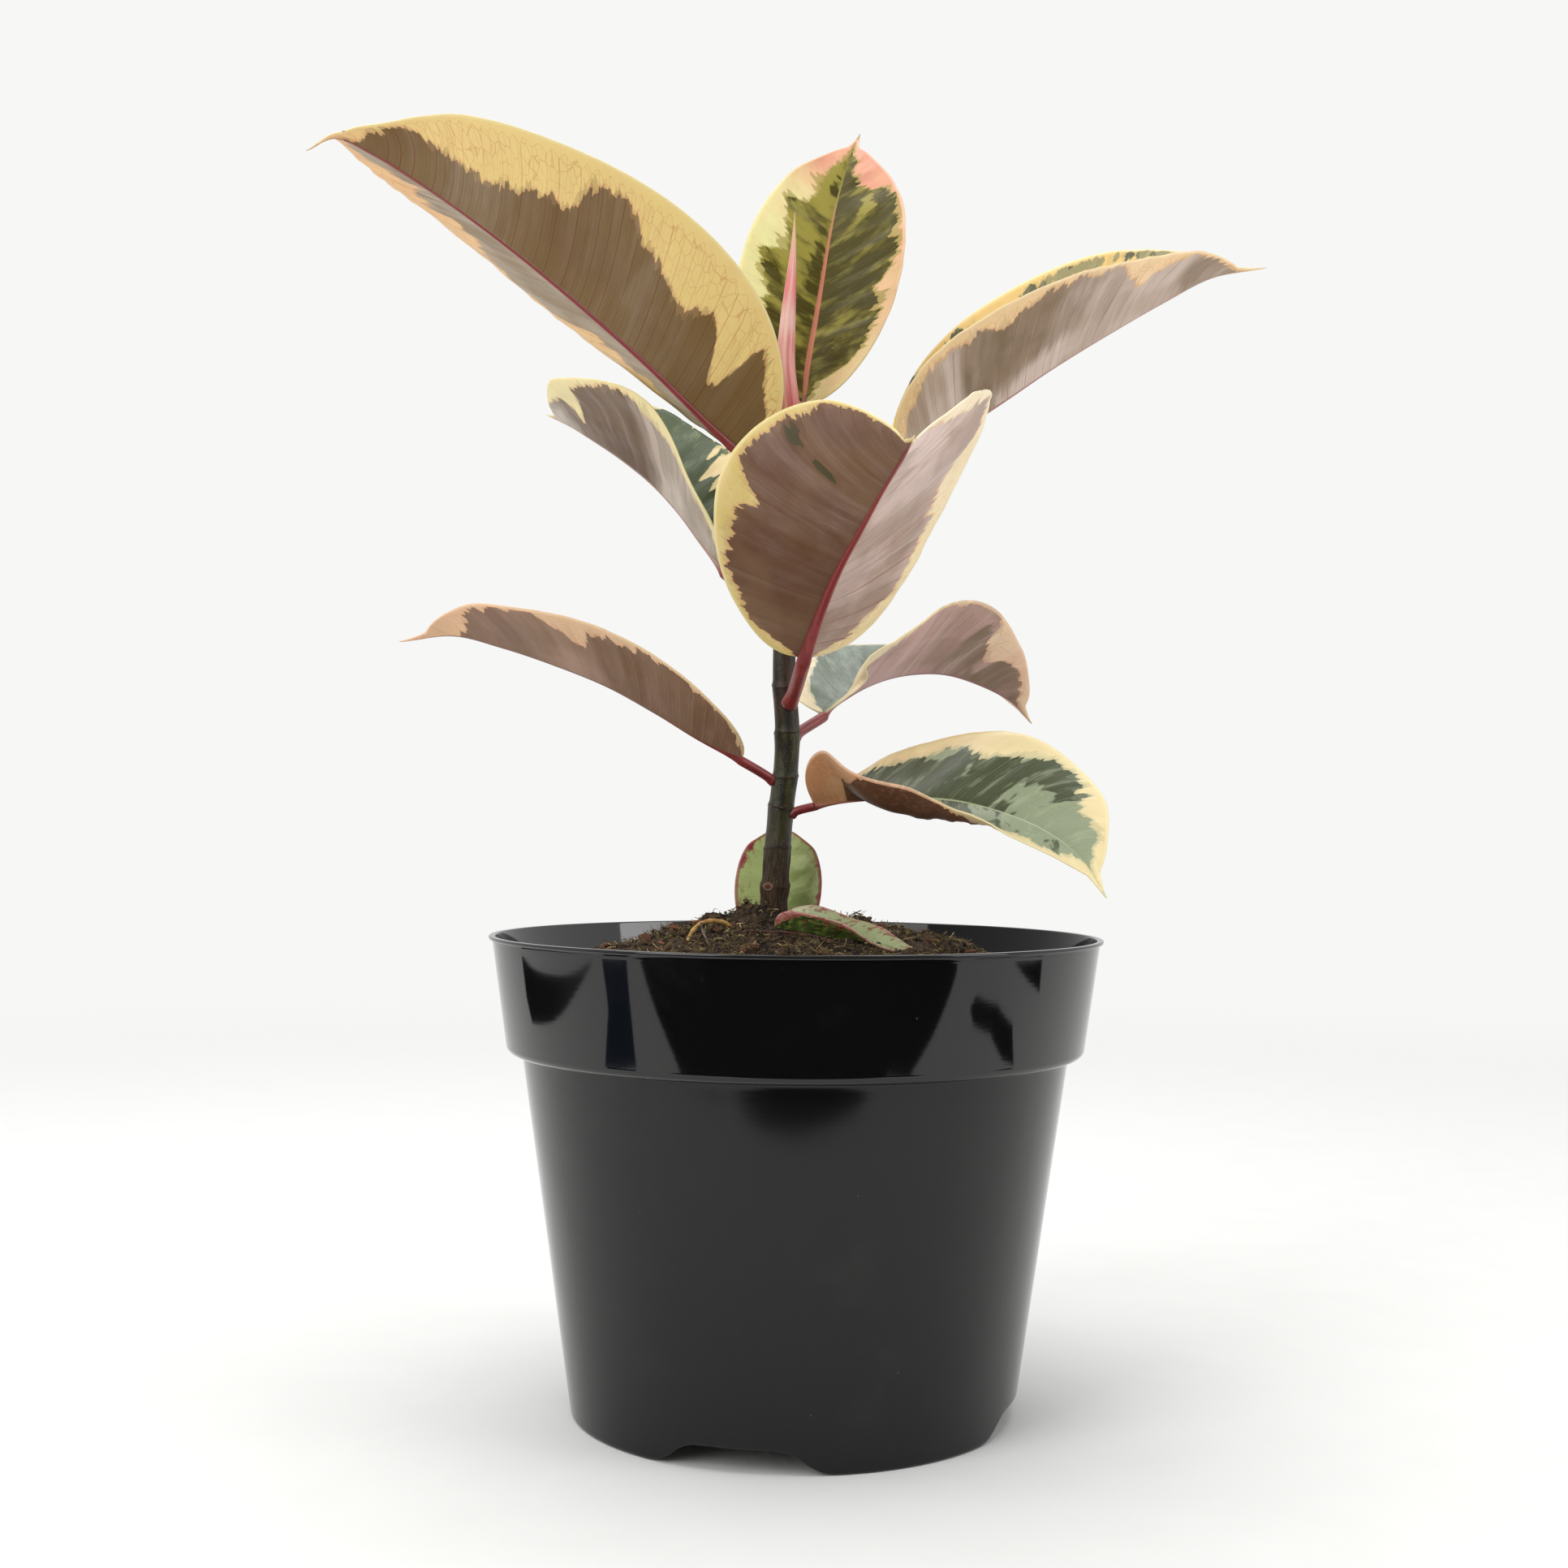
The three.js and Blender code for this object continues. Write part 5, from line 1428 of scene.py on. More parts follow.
def make_stem():
    heights = np.linspace(STEM_LINE[0][2], STEM_LINE[-1][2], STEM_ROWS)
    middles, radii = STEM.at(heights)
    height, angle = np.meshgrid(heights, round_angles(STEM_SIDES), indexing="ij")
    ring, swell = np.zeros(height.shape), np.zeros(height.shape)
    for k, node in enumerate(STEM_NODES):
        off = height - node - 0.5 * np.sin(angle + 2.4 * k) - 0.12 * np.sin(3 * angle + k)
        ring = np.maximum(ring, bell(off, 0.3))
        swell += np.where(off < 0, bell(off, 3.0), bell(off, 0.9))
    old = soft_step(-height, -160, -138)
    cracks = 0.12 * np.sin(7 * angle + 0.09 * height) + 0.08 * np.sin(13 * angle - 0.15 * height + 1)
    knots = 0.25 * np.sin(2 * angle + 0.5 * height) * np.sin(0.33 * height + 1)
    knots = knots + 0.1 * np.sin(5 * angle - 0.8 * height)
    rough = 0.04 * np.sin(3 * angle + 0.2 * height) + 0.02 * np.sin(23 * angle + 0.6 * height) * old
    size = radii[:, None] + RING_RELIEF * ring + RING_SWELL * swell - STEM_SHRINK
    size = size + (cracks + knots) * old + rough
    round_to = np.angle(np.exp(1j * (angle - BUD_SCAR[0]))) * radii[:, None]
    away = np.hypot(round_to, height - BUD_SCAR[1])
    scar_rim = bell(away - 0.95, 0.25)
    size = size + 0.3 * scar_rim + 0.35 * bell(away, 0.5) + 0.8 * bell(away, 3.2)
    places, faces = capped_tube(tube_rings(middles, size, STEM_SIDES))
    marks = np.where(away < BUD_SCAR_RADIUS, SCAR_MARK + 0.99 * scar_rim, 0.99 * ring)
    carries = {"stem_place": capped_values(angle, height, marks)}
    make_piece("woody_stem", places, faces, [make_stem_bark()], "stem", carries)


make_stem()

# %% [markdown]
# ## Leaf stalks and midribs
# A stalk leaves the stem at a joint, rises to the blade and runs on under it as the midrib, which
# fades towards the tip. Stalk and rib could be two pieces, but a seam would show where they meet. So
# they are one tapering tube, half sunk in the blade's underside. It is crimson, and paler where the
# light comes along its edge.

# %% Stalk skin
STALK_JOINT = 1.4  # mm from the stem: a dark line round the stalk's foot


def make_stalk_skin(leaf):
    material, tree, shader = make_material(leaf["name"] + " stalk")
    run, angle, on_rib = split(carried(tree, "stalk_place"))
    grain = clouds(vector(run * 0.1, calc("SINE", angle), on_rib), 1.5, 3.0, 0.6)
    spots = clouds(vector(run, angle * 1.5, 2.0), 2.2, 2.0)
    skin = mix(ramp(grain, 0.35, 0.65), "#6e1e20", "#8c3232")
    skin = mix(ramp(spots, 0.62, 0.72, 0.0, 0.35), skin, "#4a1218")
    skin = mix(ramp(on_rib, 0.0, leaf.get("blend", 0.35)), skin, leaf["rib_skin"][1])
    skin = mix(ramp(calc("ABSOLUTE", run - STALK_JOINT), 0.4, 0.15, 0.0, 0.5), skin, "#3f1a17")
    rim = add(tree, "ShaderNodeLayerWeight")
    feed(rim.inputs["Blend"], 0.35)
    skin = stained(skin, "#bb736c", Wire(rim.outputs["Facing"]), 0.36)
    dress(shader, Base_Color=skin, Roughness=ramp(grain, 0.2, 0.8, 0.32, 0.42), Normal=bump(grain, 0.00006))
    return material


# %% Stalk shape
PETIOLE_RISE = 0.7
PETIOLE_LEAD = 0.2
RIB_END = 0.9  # share of the midrib where its ridge ends
RIB_END_RADIUS = 0.12
RIB_SUNK = 0.5  # how far the rib's middle lies under the blade, over its radius
KEEL_RUN = 0.07  # share of the rib over which it thins from the stalk's radius to its keel
STALK_SIDES = 24
STALK_ROWS = 30
RIB_ROWS = 110
RIB_LEAD = 8  # rows of the rib that the stalk's curve already follows
FOOT_SWELL = 0.2


def stalk_rings(leaf):
    """Rings of the stalk and of the midrib's ridge, which is flat where it meets the blade."""
    radius = leaf["petiole_radius"]
    middle, stem_radius = STEM.at(float(leaf["height"]))
    azimuth = math.radians(leaf["azimuth"])
    outward = np.array([math.cos(azimuth), math.sin(azimuth), 0.0])
    root = middle + outward * (stem_radius - 0.4)
    share = np.arange(RIB_ROWS + 1) / RIB_ROWS
    full = leaf["keel"] + (1 - leaf["keel"]) * np.exp(-share / KEEL_RUN)
    ridge_radius = RIB_END_RADIUS + (radius - RIB_END_RADIUS) * full * (1 - share**0.6)
    ridge_radius[0] = radius
    places, _, up, side = rib_frame(leaf, RIB_END * share)
    lifts = (along(leaf[half]["lift"], RIB_END * share) for half in ("left", "right"))
    left, right = (np.radians(lift)[:, None] for lift in lifts)
    way = unit(side * (np.sin(left) - np.sin(right)) + up * (np.cos(left) + np.cos(right)))
    ridge = places - way * (ridge_radius * RIB_SUNK)[:, None]
    run = np.linalg.norm(ridge[0] - root) * PETIOLE_LEAD
    lead = root + outward * run + np.array([0, 0, run * PETIOLE_RISE])
    reach = Line([root, lead, ridge[0], ridge[RIB_LEAD // 2], ridge[RIB_LEAD]])
    stop = 1 - np.linalg.norm(np.diff(ridge[:RIB_LEAD + 1], axis=0), axis=1).sum() / reach.length
    shares = np.linspace(0, 1, STALK_ROWS, endpoint=False)
    foot = 1 + FOOT_SWELL * bell(shares, 0.12)
    middles = np.vstack([reach.at(stop * shares), ridge])
    rings = tube_rings(middles, np.concatenate([radius * foot, ridge_radius]), STALK_SIDES)
    over = np.einsum("rsk,rk->rs", rings[STALK_ROWS:] - places[:, None], way)
    sink = soft_step(share, 0, 0.06)[:, None] * np.maximum(over, 0)
    rings[STALK_ROWS:] -= sink[..., None] * way[:, None]
    return rings, middles


def make_stalks():
    for leaf in LEAVES:
        rings, middles = stalk_rings(leaf)
        places, faces = capped_tube(rings)
        run, angle = np.meshgrid(run_along(middles), round_angles(STALK_SIDES), indexing="ij")
        rib_row = np.arange(len(middles)) - STALK_ROWS
        on_rib = np.broadcast_to(np.clip(rib_row / RIB_ROWS, 0, 1)[:, None], run.shape)
        carries = {"stalk_place": capped_values(run, angle, on_rib)}
        name, node = leaf["name"] + "_stalk", leaf["name"] + "_petiole"
        make_piece(name, places, faces, [make_stalk_skin(leaf)], node, carries)


make_stalks()

# %% [markdown]
# ## Sheath
# The next leaf is rolled up in a pointed pink sheath at the top of the stem. It is round at its foot,
# fullest a third of the way up, and has one seam that winds slightly round it. A cone would do for
# its outline, but the seam is what tells that it is a rolled leaf, so it is raised from the same tube.

# %% Sheath skin
# The pale band is partly the sheath's own paler part and partly a painted highlight; the red band is its own
# colour.
SHEATH_PATCHES = ((0.58, 0.1, 0.5, "#f3d8cf"), (0.73, 0.08, 0.45, "#dd6269"))  # share, reach, amount, colour


def make_sheath_skin():
    material, tree, shader = make_material("pink sheath")
    share, angle, seam = split(carried(tree, "sheath_place"))
    grain = clouds(vector(share * 2.5, angle * 2.5, 0.0), 1.0, 4.0, 0.6)
    skin = mix(ramp(grain, 0.3, 0.7), "#d57078", "#efbbb2")
    skin = mix(ramp(share, 0.4, 0.05), skin, "#c2494f")
    for middle, reach, amount, stain in SHEATH_PATCHES:
        away = calc("ABSOLUTE", share + grain * 0.08 - middle)
        skin = stained(skin, stain, ramp(away, reach, 0.01), amount)
    skin = mix(ramp(share, 0.75, 1.0), skin, "#d9b98a")
    skin = stained(skin, "#f2cbb8", seam, 0.6)
    dress(shader, Base_Color=skin, Roughness=0.4, Normal=bump(grain, 0.0002))
    return material


# %% Sheath shape
SHEATH_LINE = [
    [-2.7, 0, 269], [-4.1, 0, 281], [-3.8, 0, 292], [-3, 0, 303], [-2.3, 0, 314], [-2, 0, 323.5],
]
SHEATH_RADII = [2.3, 2.5, 2.6, 2.25, 1.65, 0.85, 0.12]
SHEATH_ROWS = 160
SHEATH_SIDES = 40
SEAM_START = 4.0  # radians round the sheath
SEAM_WIND = 1.2  # radians that it winds on by the tip


def make_sheath():
    shares = np.linspace(0, 1, SHEATH_ROWS)
    radii = along(SHEATH_RADII, shares)
    share, angle = np.meshgrid(shares, round_angles(SHEATH_SIDES), indexing="ij")
    seam = bell(np.angle(np.exp(1j * (angle - SEAM_START - SEAM_WIND * share))), 0.16)
    size = radii[:, None] * (1 + 0.07 * seam + 0.02 * np.sin(5 * angle + 4 * share))
    middles = Line([STEM_LINE[-1], *SHEATH_LINE]).at(shares)
    places, faces = capped_tube(tube_rings(middles, size, SHEATH_SIDES))
    carries = {"sheath_place": capped_values(share, angle, seam)}
    make_piece("pink_sheath", places, faces, [make_sheath_skin()], "sheath", carries)


make_sheath()

# %% [markdown]
# ## Pot
# The pot is turned from one outline: a body that tapers to its foot, a collar that steps out near the
# top, and a thin lip. Between the feet the ring is cut away in four shallow notches. They could be cut
# with Booleans, but cuts leave long thin faces that spoil a mirror finish, so there the lower edge of
# the turned skin rises instead. It is glossy black moulded plastic, with dust, faint scratches and a
# slight wave that bends what it reflects.

# %% Pot outline
POT_HEIGHT = 126.4
RIM_RADIUS = 82.5
LIP_HEIGHT = 0.9
COLLAR_BOTTOM = 95.6
COLLAR_TOP_RADIUS = 81.6
COLLAR_BOTTOM_RADIUS = 77.6
COLLAR_CORNER = 2.2
BODY_TOP_RADIUS = 73.2
FOOT_RADIUS = 59.4
WALL = 1.4
COLLAR_WALL = 0.9
FLOOR_HEIGHT = 6.8
SKIRT_HEIGHT = 8.0  # above the notches: from here up all heights are the same all round


def wall_radius(height):
    return FOOT_RADIUS + (BODY_TOP_RADIUS - FOOT_RADIUS) * height / COLLAR_BOTTOM


def arc(centre, radius, start, end, steps):
    """Points of an arc in the plane of radius and height, angles in degrees."""
    turns = np.radians(np.linspace(start, end, steps))
    return [(centre[0] + radius * math.cos(t), centre[1] + radius * math.sin(t)) for t in turns]


def straight(start, end, steps):
    """Points between two others, closer together near both, which keeps the shading of corners small."""
    share = (1 - np.cos(np.linspace(0, np.pi, steps)))[1:-1, None] / 2
    return [tuple(p) for p in np.asarray(start) + share * (np.asarray(end) - np.asarray(start))]


def pot_outline():
    """The pot's outline above its foot: up the outside, over the lip and down the inside to the floor."""
    top = POT_HEIGHT
    lip_low = top - LIP_HEIGHT
    floor = FLOOR_HEIGHT + WALL
    ledge = COLLAR_BOTTOM + WALL
    mouth, shelf, neck = COLLAR_TOP_RADIUS - COLLAR_WALL, COLLAR_BOTTOM_RADIUS - WALL, BODY_TOP_RADIUS - WALL
    floor_edge = (wall_radius(floor) - WALL, floor)
    corner = (COLLAR_BOTTOM_RADIUS - COLLAR_CORNER, COLLAR_BOTTOM + COLLAR_CORNER)
    hollow = (BODY_TOP_RADIUS + 0.8, COLLAR_BOTTOM - 0.8)
    skirt = (wall_radius(SKIRT_HEIGHT), SKIRT_HEIGHT)
    outside = [skirt, *straight(skirt, (BODY_TOP_RADIUS - 0.1, 94.2), 20)]
    outside += arc(hollow, 0.8, 180, 90, 5)
    outside += arc(corner, COLLAR_CORNER, -90, 0, 9)
    outside += straight((COLLAR_BOTTOM_RADIUS, corner[1]), (COLLAR_TOP_RADIUS - 0.1, lip_low - 0.5), 18)
    outside += arc((COLLAR_TOP_RADIUS + 0.2, lip_low - 0.3), 0.3, 170, 90, 5)
    outside += [(RIM_RADIUS - 0.45, lip_low), *arc((RIM_RADIUS - 0.25, lip_low + 0.25), 0.25, -80, 0, 4)]
    outside += arc((RIM_RADIUS - 0.4, top - 0.4), 0.4, 0, 90, 6)
    inside = arc((mouth + 0.4, top - 0.4), 0.4, 90, 180, 6)
    inside += [*straight((mouth, top - 0.5), (shelf, ledge), 10), (shelf, ledge), (neck, ledge)]
    inside += straight((neck, ledge), floor_edge, 5)
    return outside + inside + [floor_edge]


print("the pot's outline has", len(pot_outline()), "points")


# %% Notched foot and rings
NOTCHES = 4
NOTCH_HEIGHT = 6
NOTCH_FIRST_ANGLE = -103.5
NOTCH_TOP_WIDTH = 26
NOTCH_FOOT_WIDTH = 41
NOTCH_SOFTNESS = 1.1
DRAIN_RADIUS = 4.5
DRAIN_RING = 38
DRAIN_MARGIN = 8  # the floor's rings of points run this far inside and outside the drains
POT_COLUMNS = 400
FOOT_EDGE = [(0.0, 0.45), (0.12, 0.12), (0.5, 0.0)]  # how far up and in each point of its round edge is


def notch_height(azimuth):
    """How far the lower edge rises between two feet."""
    turn = 2 * np.pi / NOTCHES
    away = np.mod(azimuth - math.radians(NOTCH_FIRST_ANGLE) + turn / 2, turn) - turn / 2
    distance = np.abs(away) * FOOT_RADIUS
    slope = NOTCH_HEIGHT / ((NOTCH_FOOT_WIDTH - NOTCH_TOP_WIDTH) / 2)
    rise = (NOTCH_FOOT_WIDTH / 2 - distance) * slope
    rise = NOTCH_SOFTNESS * np.logaddexp(0, rise / NOTCH_SOFTNESS)
    return NOTCH_HEIGHT - NOTCH_SOFTNESS * np.logaddexp(0, (NOTCH_HEIGHT - rise) / NOTCH_SOFTNESS)


def pot_rings():
    azimuth = round_angles(POT_COLUMNS)
    low = np.clip(notch_height(azimuth), 0, NOTCH_HEIGHT)
    floor_radii = [0.5, DRAIN_RING - DRAIN_MARGIN, DRAIN_RING, DRAIN_RING + DRAIN_MARGIN]
    inner = wall_radius(FLOOR_HEIGHT) - WALL
    rows = [(radius, FLOOR_HEIGHT) for radius in [*floor_radii, inner - 1, inner]]
    for up, thin in FOOT_EDGE[::-1]:
        height = np.minimum(low + up, FLOOR_HEIGHT - 0.05)
        rows.append((wall_radius(height) - WALL + thin, height))
    for up, thin in [*FOOT_EDGE, (1.2, 0.0)]:
        rows.append((wall_radius(low + up) - thin, low + up))
    rows += pot_outline()
    rows += [(radius, FLOOR_HEIGHT + WALL) for radius in floor_radii[::-1]]
    flat = np.zeros(POT_COLUMNS)
    return np.array([np.stack([r * np.cos(azimuth), r * np.sin(azimuth), h + flat], -1) for r, h in rows])


# %% Pot finish


def make_wear():
    outputs = ["Dust", "Scratch", "Wave", "Comb"]
    group, given, out = make_effect("dust and scratches", {"Place": None}, outputs)
    place = given["Place"]
    x, y, z = split(place)
    away, chance = round_cells(place, 380.0)
    dust = ramp(away, 0.1, 0.03) * ramp(chance, 0.96, 0.965)
    film = ramp(clouds(place, 30.0, 5.0, 0.7), 0.52, 0.75, 0.0, 0.05)
    scuffs = ramp(clouds(vector(x * 650.0, y * 650.0, z * 60.0), 1.0, 2.0, 0.6), 0.64, 0.72)
    where = ramp(clouds(place, 30.0, 2.0), 0.54, 0.7)
    feed(out["Dust"], dust + film)
    feed(out["Scratch"], scuffs * where)
    feed(out["Comb"], clouds(vector(x * 70.0, y * 70.0, z * 900.0), 1.0, 3.0, 0.7))
    feed(out["Wave"], clouds(place, 26.0, 2.0, 0.4))
    return group


def make_pot_plastic():
    """Black plastic whose collar is smoother and glossier than its body."""
    material, tree, shader = make_material("black moulded plastic")
    place = surface(tree)
    marks = use_effect(make_wear(), Place=place)
    x, _, height = split(place)
    on_collar = ramp(height, (COLLAR_BOTTOM - 0.5) * MM, (COLLAR_BOTTOM + 0.5) * MM)
    facing = {0: place, 1: surface(tree, "Normal")}
    outward = wired("ShaderNodeVectorMath", facing, "Value", operation="DOT_PRODUCT")
    inside = ramp(outward, 0.0, -0.03)
    loss = inside * ramp(x, -0.02, 0.03, -0.9, 0.5)  # the inner wall shines at its left, dull at its right
    gloss = ramp(on_collar, 0.0, 1.0, 0.36, 0.5) * (1.0 - loss)
    rough = ramp(on_collar, 0.0, 1.0, 0.11, 0.05) + marks["Scratch"] * 0.12 + marks["Dust"] * 0.3
    wave = marks["Wave"] * ramp(on_collar, 0.0, 1.0, 0.7, 0.25)
    relief = wave + marks["Scratch"] * -0.01 + marks["Comb"] * 0.004
    dust = calc("MULTIPLY", marks["Dust"], 0.5, clamp=True)
    dress(
        shader, Base_Color=mix(dust, "#0c0c0d", "#7d7c78"), Roughness=rough, Specular_IOR_Level=gloss,
        Normal=bump(relief, 0.0005),
    )
    return material


# %% Drains and the whole pot


def cut_drains(pot):
    """The drain holes in the pot's floor."""
    for k in range(NOTCHES):
        azimuth = math.radians(NOTCH_FIRST_ANGLE) + k * 2 * math.pi / NOTCHES
        x, y, z = DRAIN_RING * math.cos(azimuth), DRAIN_RING * math.sin(azimuth), FLOOR_HEIGHT + WALL / 2
        rings = tube_rings(np.array([[x, y, z - 3], [x, y, z + 3]]), [DRAIN_RADIUS] * 2, 40)
        places, faces = capped_tube(rings)
        mesh = bpy.data.meshes.new("drain")
        mesh.from_pydata(in_frame(places).tolist(), [], faces)
        drain = bpy.data.objects.new("drain", mesh)
        scene.collection.objects.link(drain)
        cutter = pot.modifiers.new("drain", "BOOLEAN")
        cutter.object, cutter.operation, cutter.solver = drain, "DIFFERENCE", "EXACT"
        whole = bpy.data.meshes.new_from_object(pot.evaluated_get(bpy.context.evaluated_depsgraph_get()))
        pot.modifiers.clear()
        bpy.data.objects.remove(drain)
        pot.data = whole


def make_pot():
    places, faces = capped_tube(pot_rings())
    outward = [face[::-1] for face in faces]
    pot = make_piece("black_pot", places, outward, [make_pot_plastic()], "pot")
    cut_drains(pot)
    print("pot after its drains", len(pot.data.polygons), "faces")


make_pot()

# %% [markdown]
# ## Potting mix
# The mix is peat with bark chips and many short fibres, heaped a little round the stem. Bump on a
# smooth mound would look like cloth. So one fine surface gives the mound and its crumbs, and real bits
# lie on it: chips are small broken slabs, crumbs are lumps, and fibres are thin bent straws, all laid
# at random, from fixed seeds. Bits of one kind are one piece, and each bit carries its own shade.

# %% Mound
SOIL_EDGE = 113.5
SOIL_CROWN = 129
SOIL_LUMP = 1.7
CLODS = [  # x, y, height and radius: those of the solid, then smaller ones round the stem
    [-22, 2, 3.4, 7], [-8, -3, 1.6, 6], [18, 6, 1.8, 9], [34, -4, 1.6, 8], [-38, -8, 1.5, 8],
    [-12.5, -1.5, 6, 3.2], [-10, -5, 4.2, 2.8], [-14.5, 2, 3.4, 3.4], [8, 5, 3.2, 4.6],
    [-6.5, -6.5, 3.4, 3.4], [17, 9, 2.4, 4.6], [28, 8, 1.8, 5], [-33, 3, 1.2, 4], [-24, 1, 1.4, 3.4],
    [44, -8, 1.4, 5],
]
SOIL_RINGS = 150
SOIL_SECTORS = 340
SOIL_RADIUS = 78.0
SOIL_GAP = 0.5  # mm between the mix and the pot's wall
SOIL_FOOT = 9.0
SOIL_FOOT_RADIUS = wall_radius(20) - WALL - 1  # clear of the wall, which tapers on below


def soil_height(x, y):
    """Height of the potting mix, with the same mound and heaps as the solid."""
    share = np.minimum(np.hypot(x, y) / SOIL_RADIUS, 1)
    mound = SOIL_EDGE + (SOIL_CROWN - SOIL_EDGE) * np.cos(share * np.pi / 2)
    crumbs = (
        0.6 * np.sin(x / 6.1 + 0.8) * np.cos(y / 7.3 - 0.4)
        + 0.5 * np.sin((x + y) / 4.7 + 1.9) * np.cos((x - y) / 5.9 + 0.3)
        + 0.35 * np.cos(x / 3.3 - y / 9.1)
    )
    heaps = sum(h * np.exp(-(((x - cx) / r) ** 2) - ((y - cy) / r) ** 2) for cx, cy, h, r in CLODS)
    grit = 0.35 * np.sin(x * 2.1 + 3 * np.sin(y * 0.9)) * np.sin(y * 2.4 + 2 * np.sin(x * 1.1))
    grit = grit + 0.3 * np.sin(x * 4.3 + 2 * np.cos(y * 1.7)) * np.sin(y * 3.9 + 1)
    return mound + heaps + SOIL_LUMP * crumbs * (1 - share**4) + grit * (1 - share**8)


def soil_ring(radius, height):
    angles = round_angles(SOIL_SECTORS)
    return np.stack([radius * np.cos(angles), radius * np.sin(angles), np.full(SOIL_SECTORS, height)], -1)


def soil_rings():
    """The crumbly top, and three rings that close it along the pot's collar, ledge and wall."""
    radii = np.linspace(0.02, 1, SOIL_RINGS) * (SOIL_RADIUS - 0.4)
    top = np.array([soil_ring(radius, 0.0) for radius in radii])
    top[..., 2] = soil_height(top[..., 0], top[..., 1])
    for place in top.reshape(-1, 3):
        spot = Vector((place[0], place[1], 0))
        lumps = noise.fractal(spot * 0.22, 0.9, 2.1, 3)
        place[2] += 0.9 * lumps + 0.6 * max(0.0, noise.noise(spot * 0.9)) - 0.35
    ledge = COLLAR_BOTTOM + WALL + SOIL_GAP
    shoulder = soil_ring(COLLAR_BOTTOM_RADIUS - WALL - SOIL_GAP, ledge)
    neck = soil_ring(BODY_TOP_RADIUS - WALL - SOIL_GAP, ledge)
    foot = soil_ring(SOIL_FOOT_RADIUS, SOIL_FOOT)
    return np.concatenate([top, shoulder[None], neck[None], foot[None]])


# %% Finishes of the mix
STEM_FOOT = (-9.5, -3.5, 131)


def make_peat_skin():
    material, tree, shader = make_material("peat")
    place = surface(tree)
    coarse = clouds(place, 300.0, 6.0, 0.7)
    fine = clouds(place, 1500.0, 4.0, 0.7)
    # Darkest where the coarse noise and so the bump are low: the peat's own brown with painted shade in its
    # hollows.
    skin = mix(ramp(coarse, 0.4, 0.62), "#0c0704", "#66503a")
    skin = stained(skin, "#9c8757", ramp(fine, 0.54, 0.7), 0.7)
    foot = {0: place, 1: tuple(in_frame(STEM_FOOT))}
    to_foot = wired("ShaderNodeVectorMath", foot, "Value", operation="DISTANCE")
    skin = stained(skin, "#2e2118", ramp(to_foot, 0.011, 0.005), 0.3)
    dress(shader, Base_Color=skin, Roughness=0.95, Normal=bump(coarse + fine * 0.4, 0.0022))
    return material


def make_bits_finish(name, dark, light, rare, roughness):
    """A finish for loose bits, whose shade differs from bit to bit. A few of them have the rare colour."""
    material, tree, shader = make_material(name)
    shade = carried(tree, "bit_shade", "Fac")
    grain = clouds(surface(tree), 700.0, 4.0, 0.7)
    skin = mix(calc("ADD", shade, (grain - 0.5) * 0.7, clamp=True), dark, light)
    skin = stained(skin, rare, ramp(shade, 0.78, 0.95), 0.85)
    dress(shader, Base_Color=skin, Roughness=roughness, Normal=bump(grain, 0.0006))
    return material


# %% Chips and crumbs
CHIPS = 420
CRUMBS = 2600
CLEAR_OF_LEAF = 5.5  # mm: nothing is strewn nearer than this to the small leaf's midrib
CLEAR_OF_STEM = 4.6
STEM_PLACE = (-6.4, 0)
LUMP_CORNERS = 6


def is_clear(x, y):
    """Whether places on the mix are clear of the stem and of the small leaf that lies on it."""
    rib = Line(BASE_LEAVES[1]["rib"]).at(np.linspace(0, 1, 12))
    to_leaf = np.min([np.hypot(x - px, y - py) for px, py, _ in rib], axis=0)
    to_stem = np.hypot(x - STEM_PLACE[0], y - STEM_PLACE[1])
    return (to_stem > CLEAR_OF_STEM) & (to_leaf > CLEAR_OF_LEAF)


def random_spot(chance):
    """A random place on the mix that is clear."""
    while True:
        radius = (SOIL_RADIUS - 4) * chance.random() ** 0.5
        angle = chance.uniform(0, 2 * math.pi)
        x, y = radius * math.cos(angle), radius * math.sin(angle)
        if is_clear(x, y):
            return x, y, float(soil_height(np.array(x), np.array(y)))


def lump(chance, centre, size, flat):
    """A broken lump: a box with its corners pushed about, some of it much flatter than wide."""
    turn = Matrix.Rotation(chance.uniform(0, 6.3), 3, "Z") @ Matrix.Rotation(chance.gauss(0, 0.45), 3, "X")
    turn = turn @ Matrix.Rotation(chance.gauss(0, 0.35), 3, "Y")
    wide = size * chance.uniform(0.8, 1.6)
    deep = size * chance.uniform(0.5, 1.0)
    tall = size * flat * chance.uniform(0.7, 1.3)
    places = []
    for z in (-1, 0, 1):
        for k in range(LUMP_CORNERS):
            angle = k * math.pi / 3 + chance.uniform(-0.3, 0.3)
            reach = (0.75 if z else 1.0) * chance.uniform(0.75, 1.15)
            corner = Vector((math.cos(angle) * reach * wide, math.sin(angle) * reach * deep, z * tall))
            places.append(list(turn @ corner + Vector(centre)))
    top = 2 * LUMP_CORNERS
    ends = [tuple(range(LUMP_CORNERS))[::-1], tuple(range(top, top + LUMP_CORNERS))]
    return places, ends + ring_faces(3, LUMP_CORNERS)


def strew(count, chance, smallest, spread, rise, flat):
    """Lumps of many sizes, most of them small, at random places on the mix."""
    lumps = []
    for _ in range(count):
        x, y, z = random_spot(chance)
        lumps.append(lump(chance, (x, y, z + rise), smallest + spread * chance.random() ** 2, flat))
    return lumps


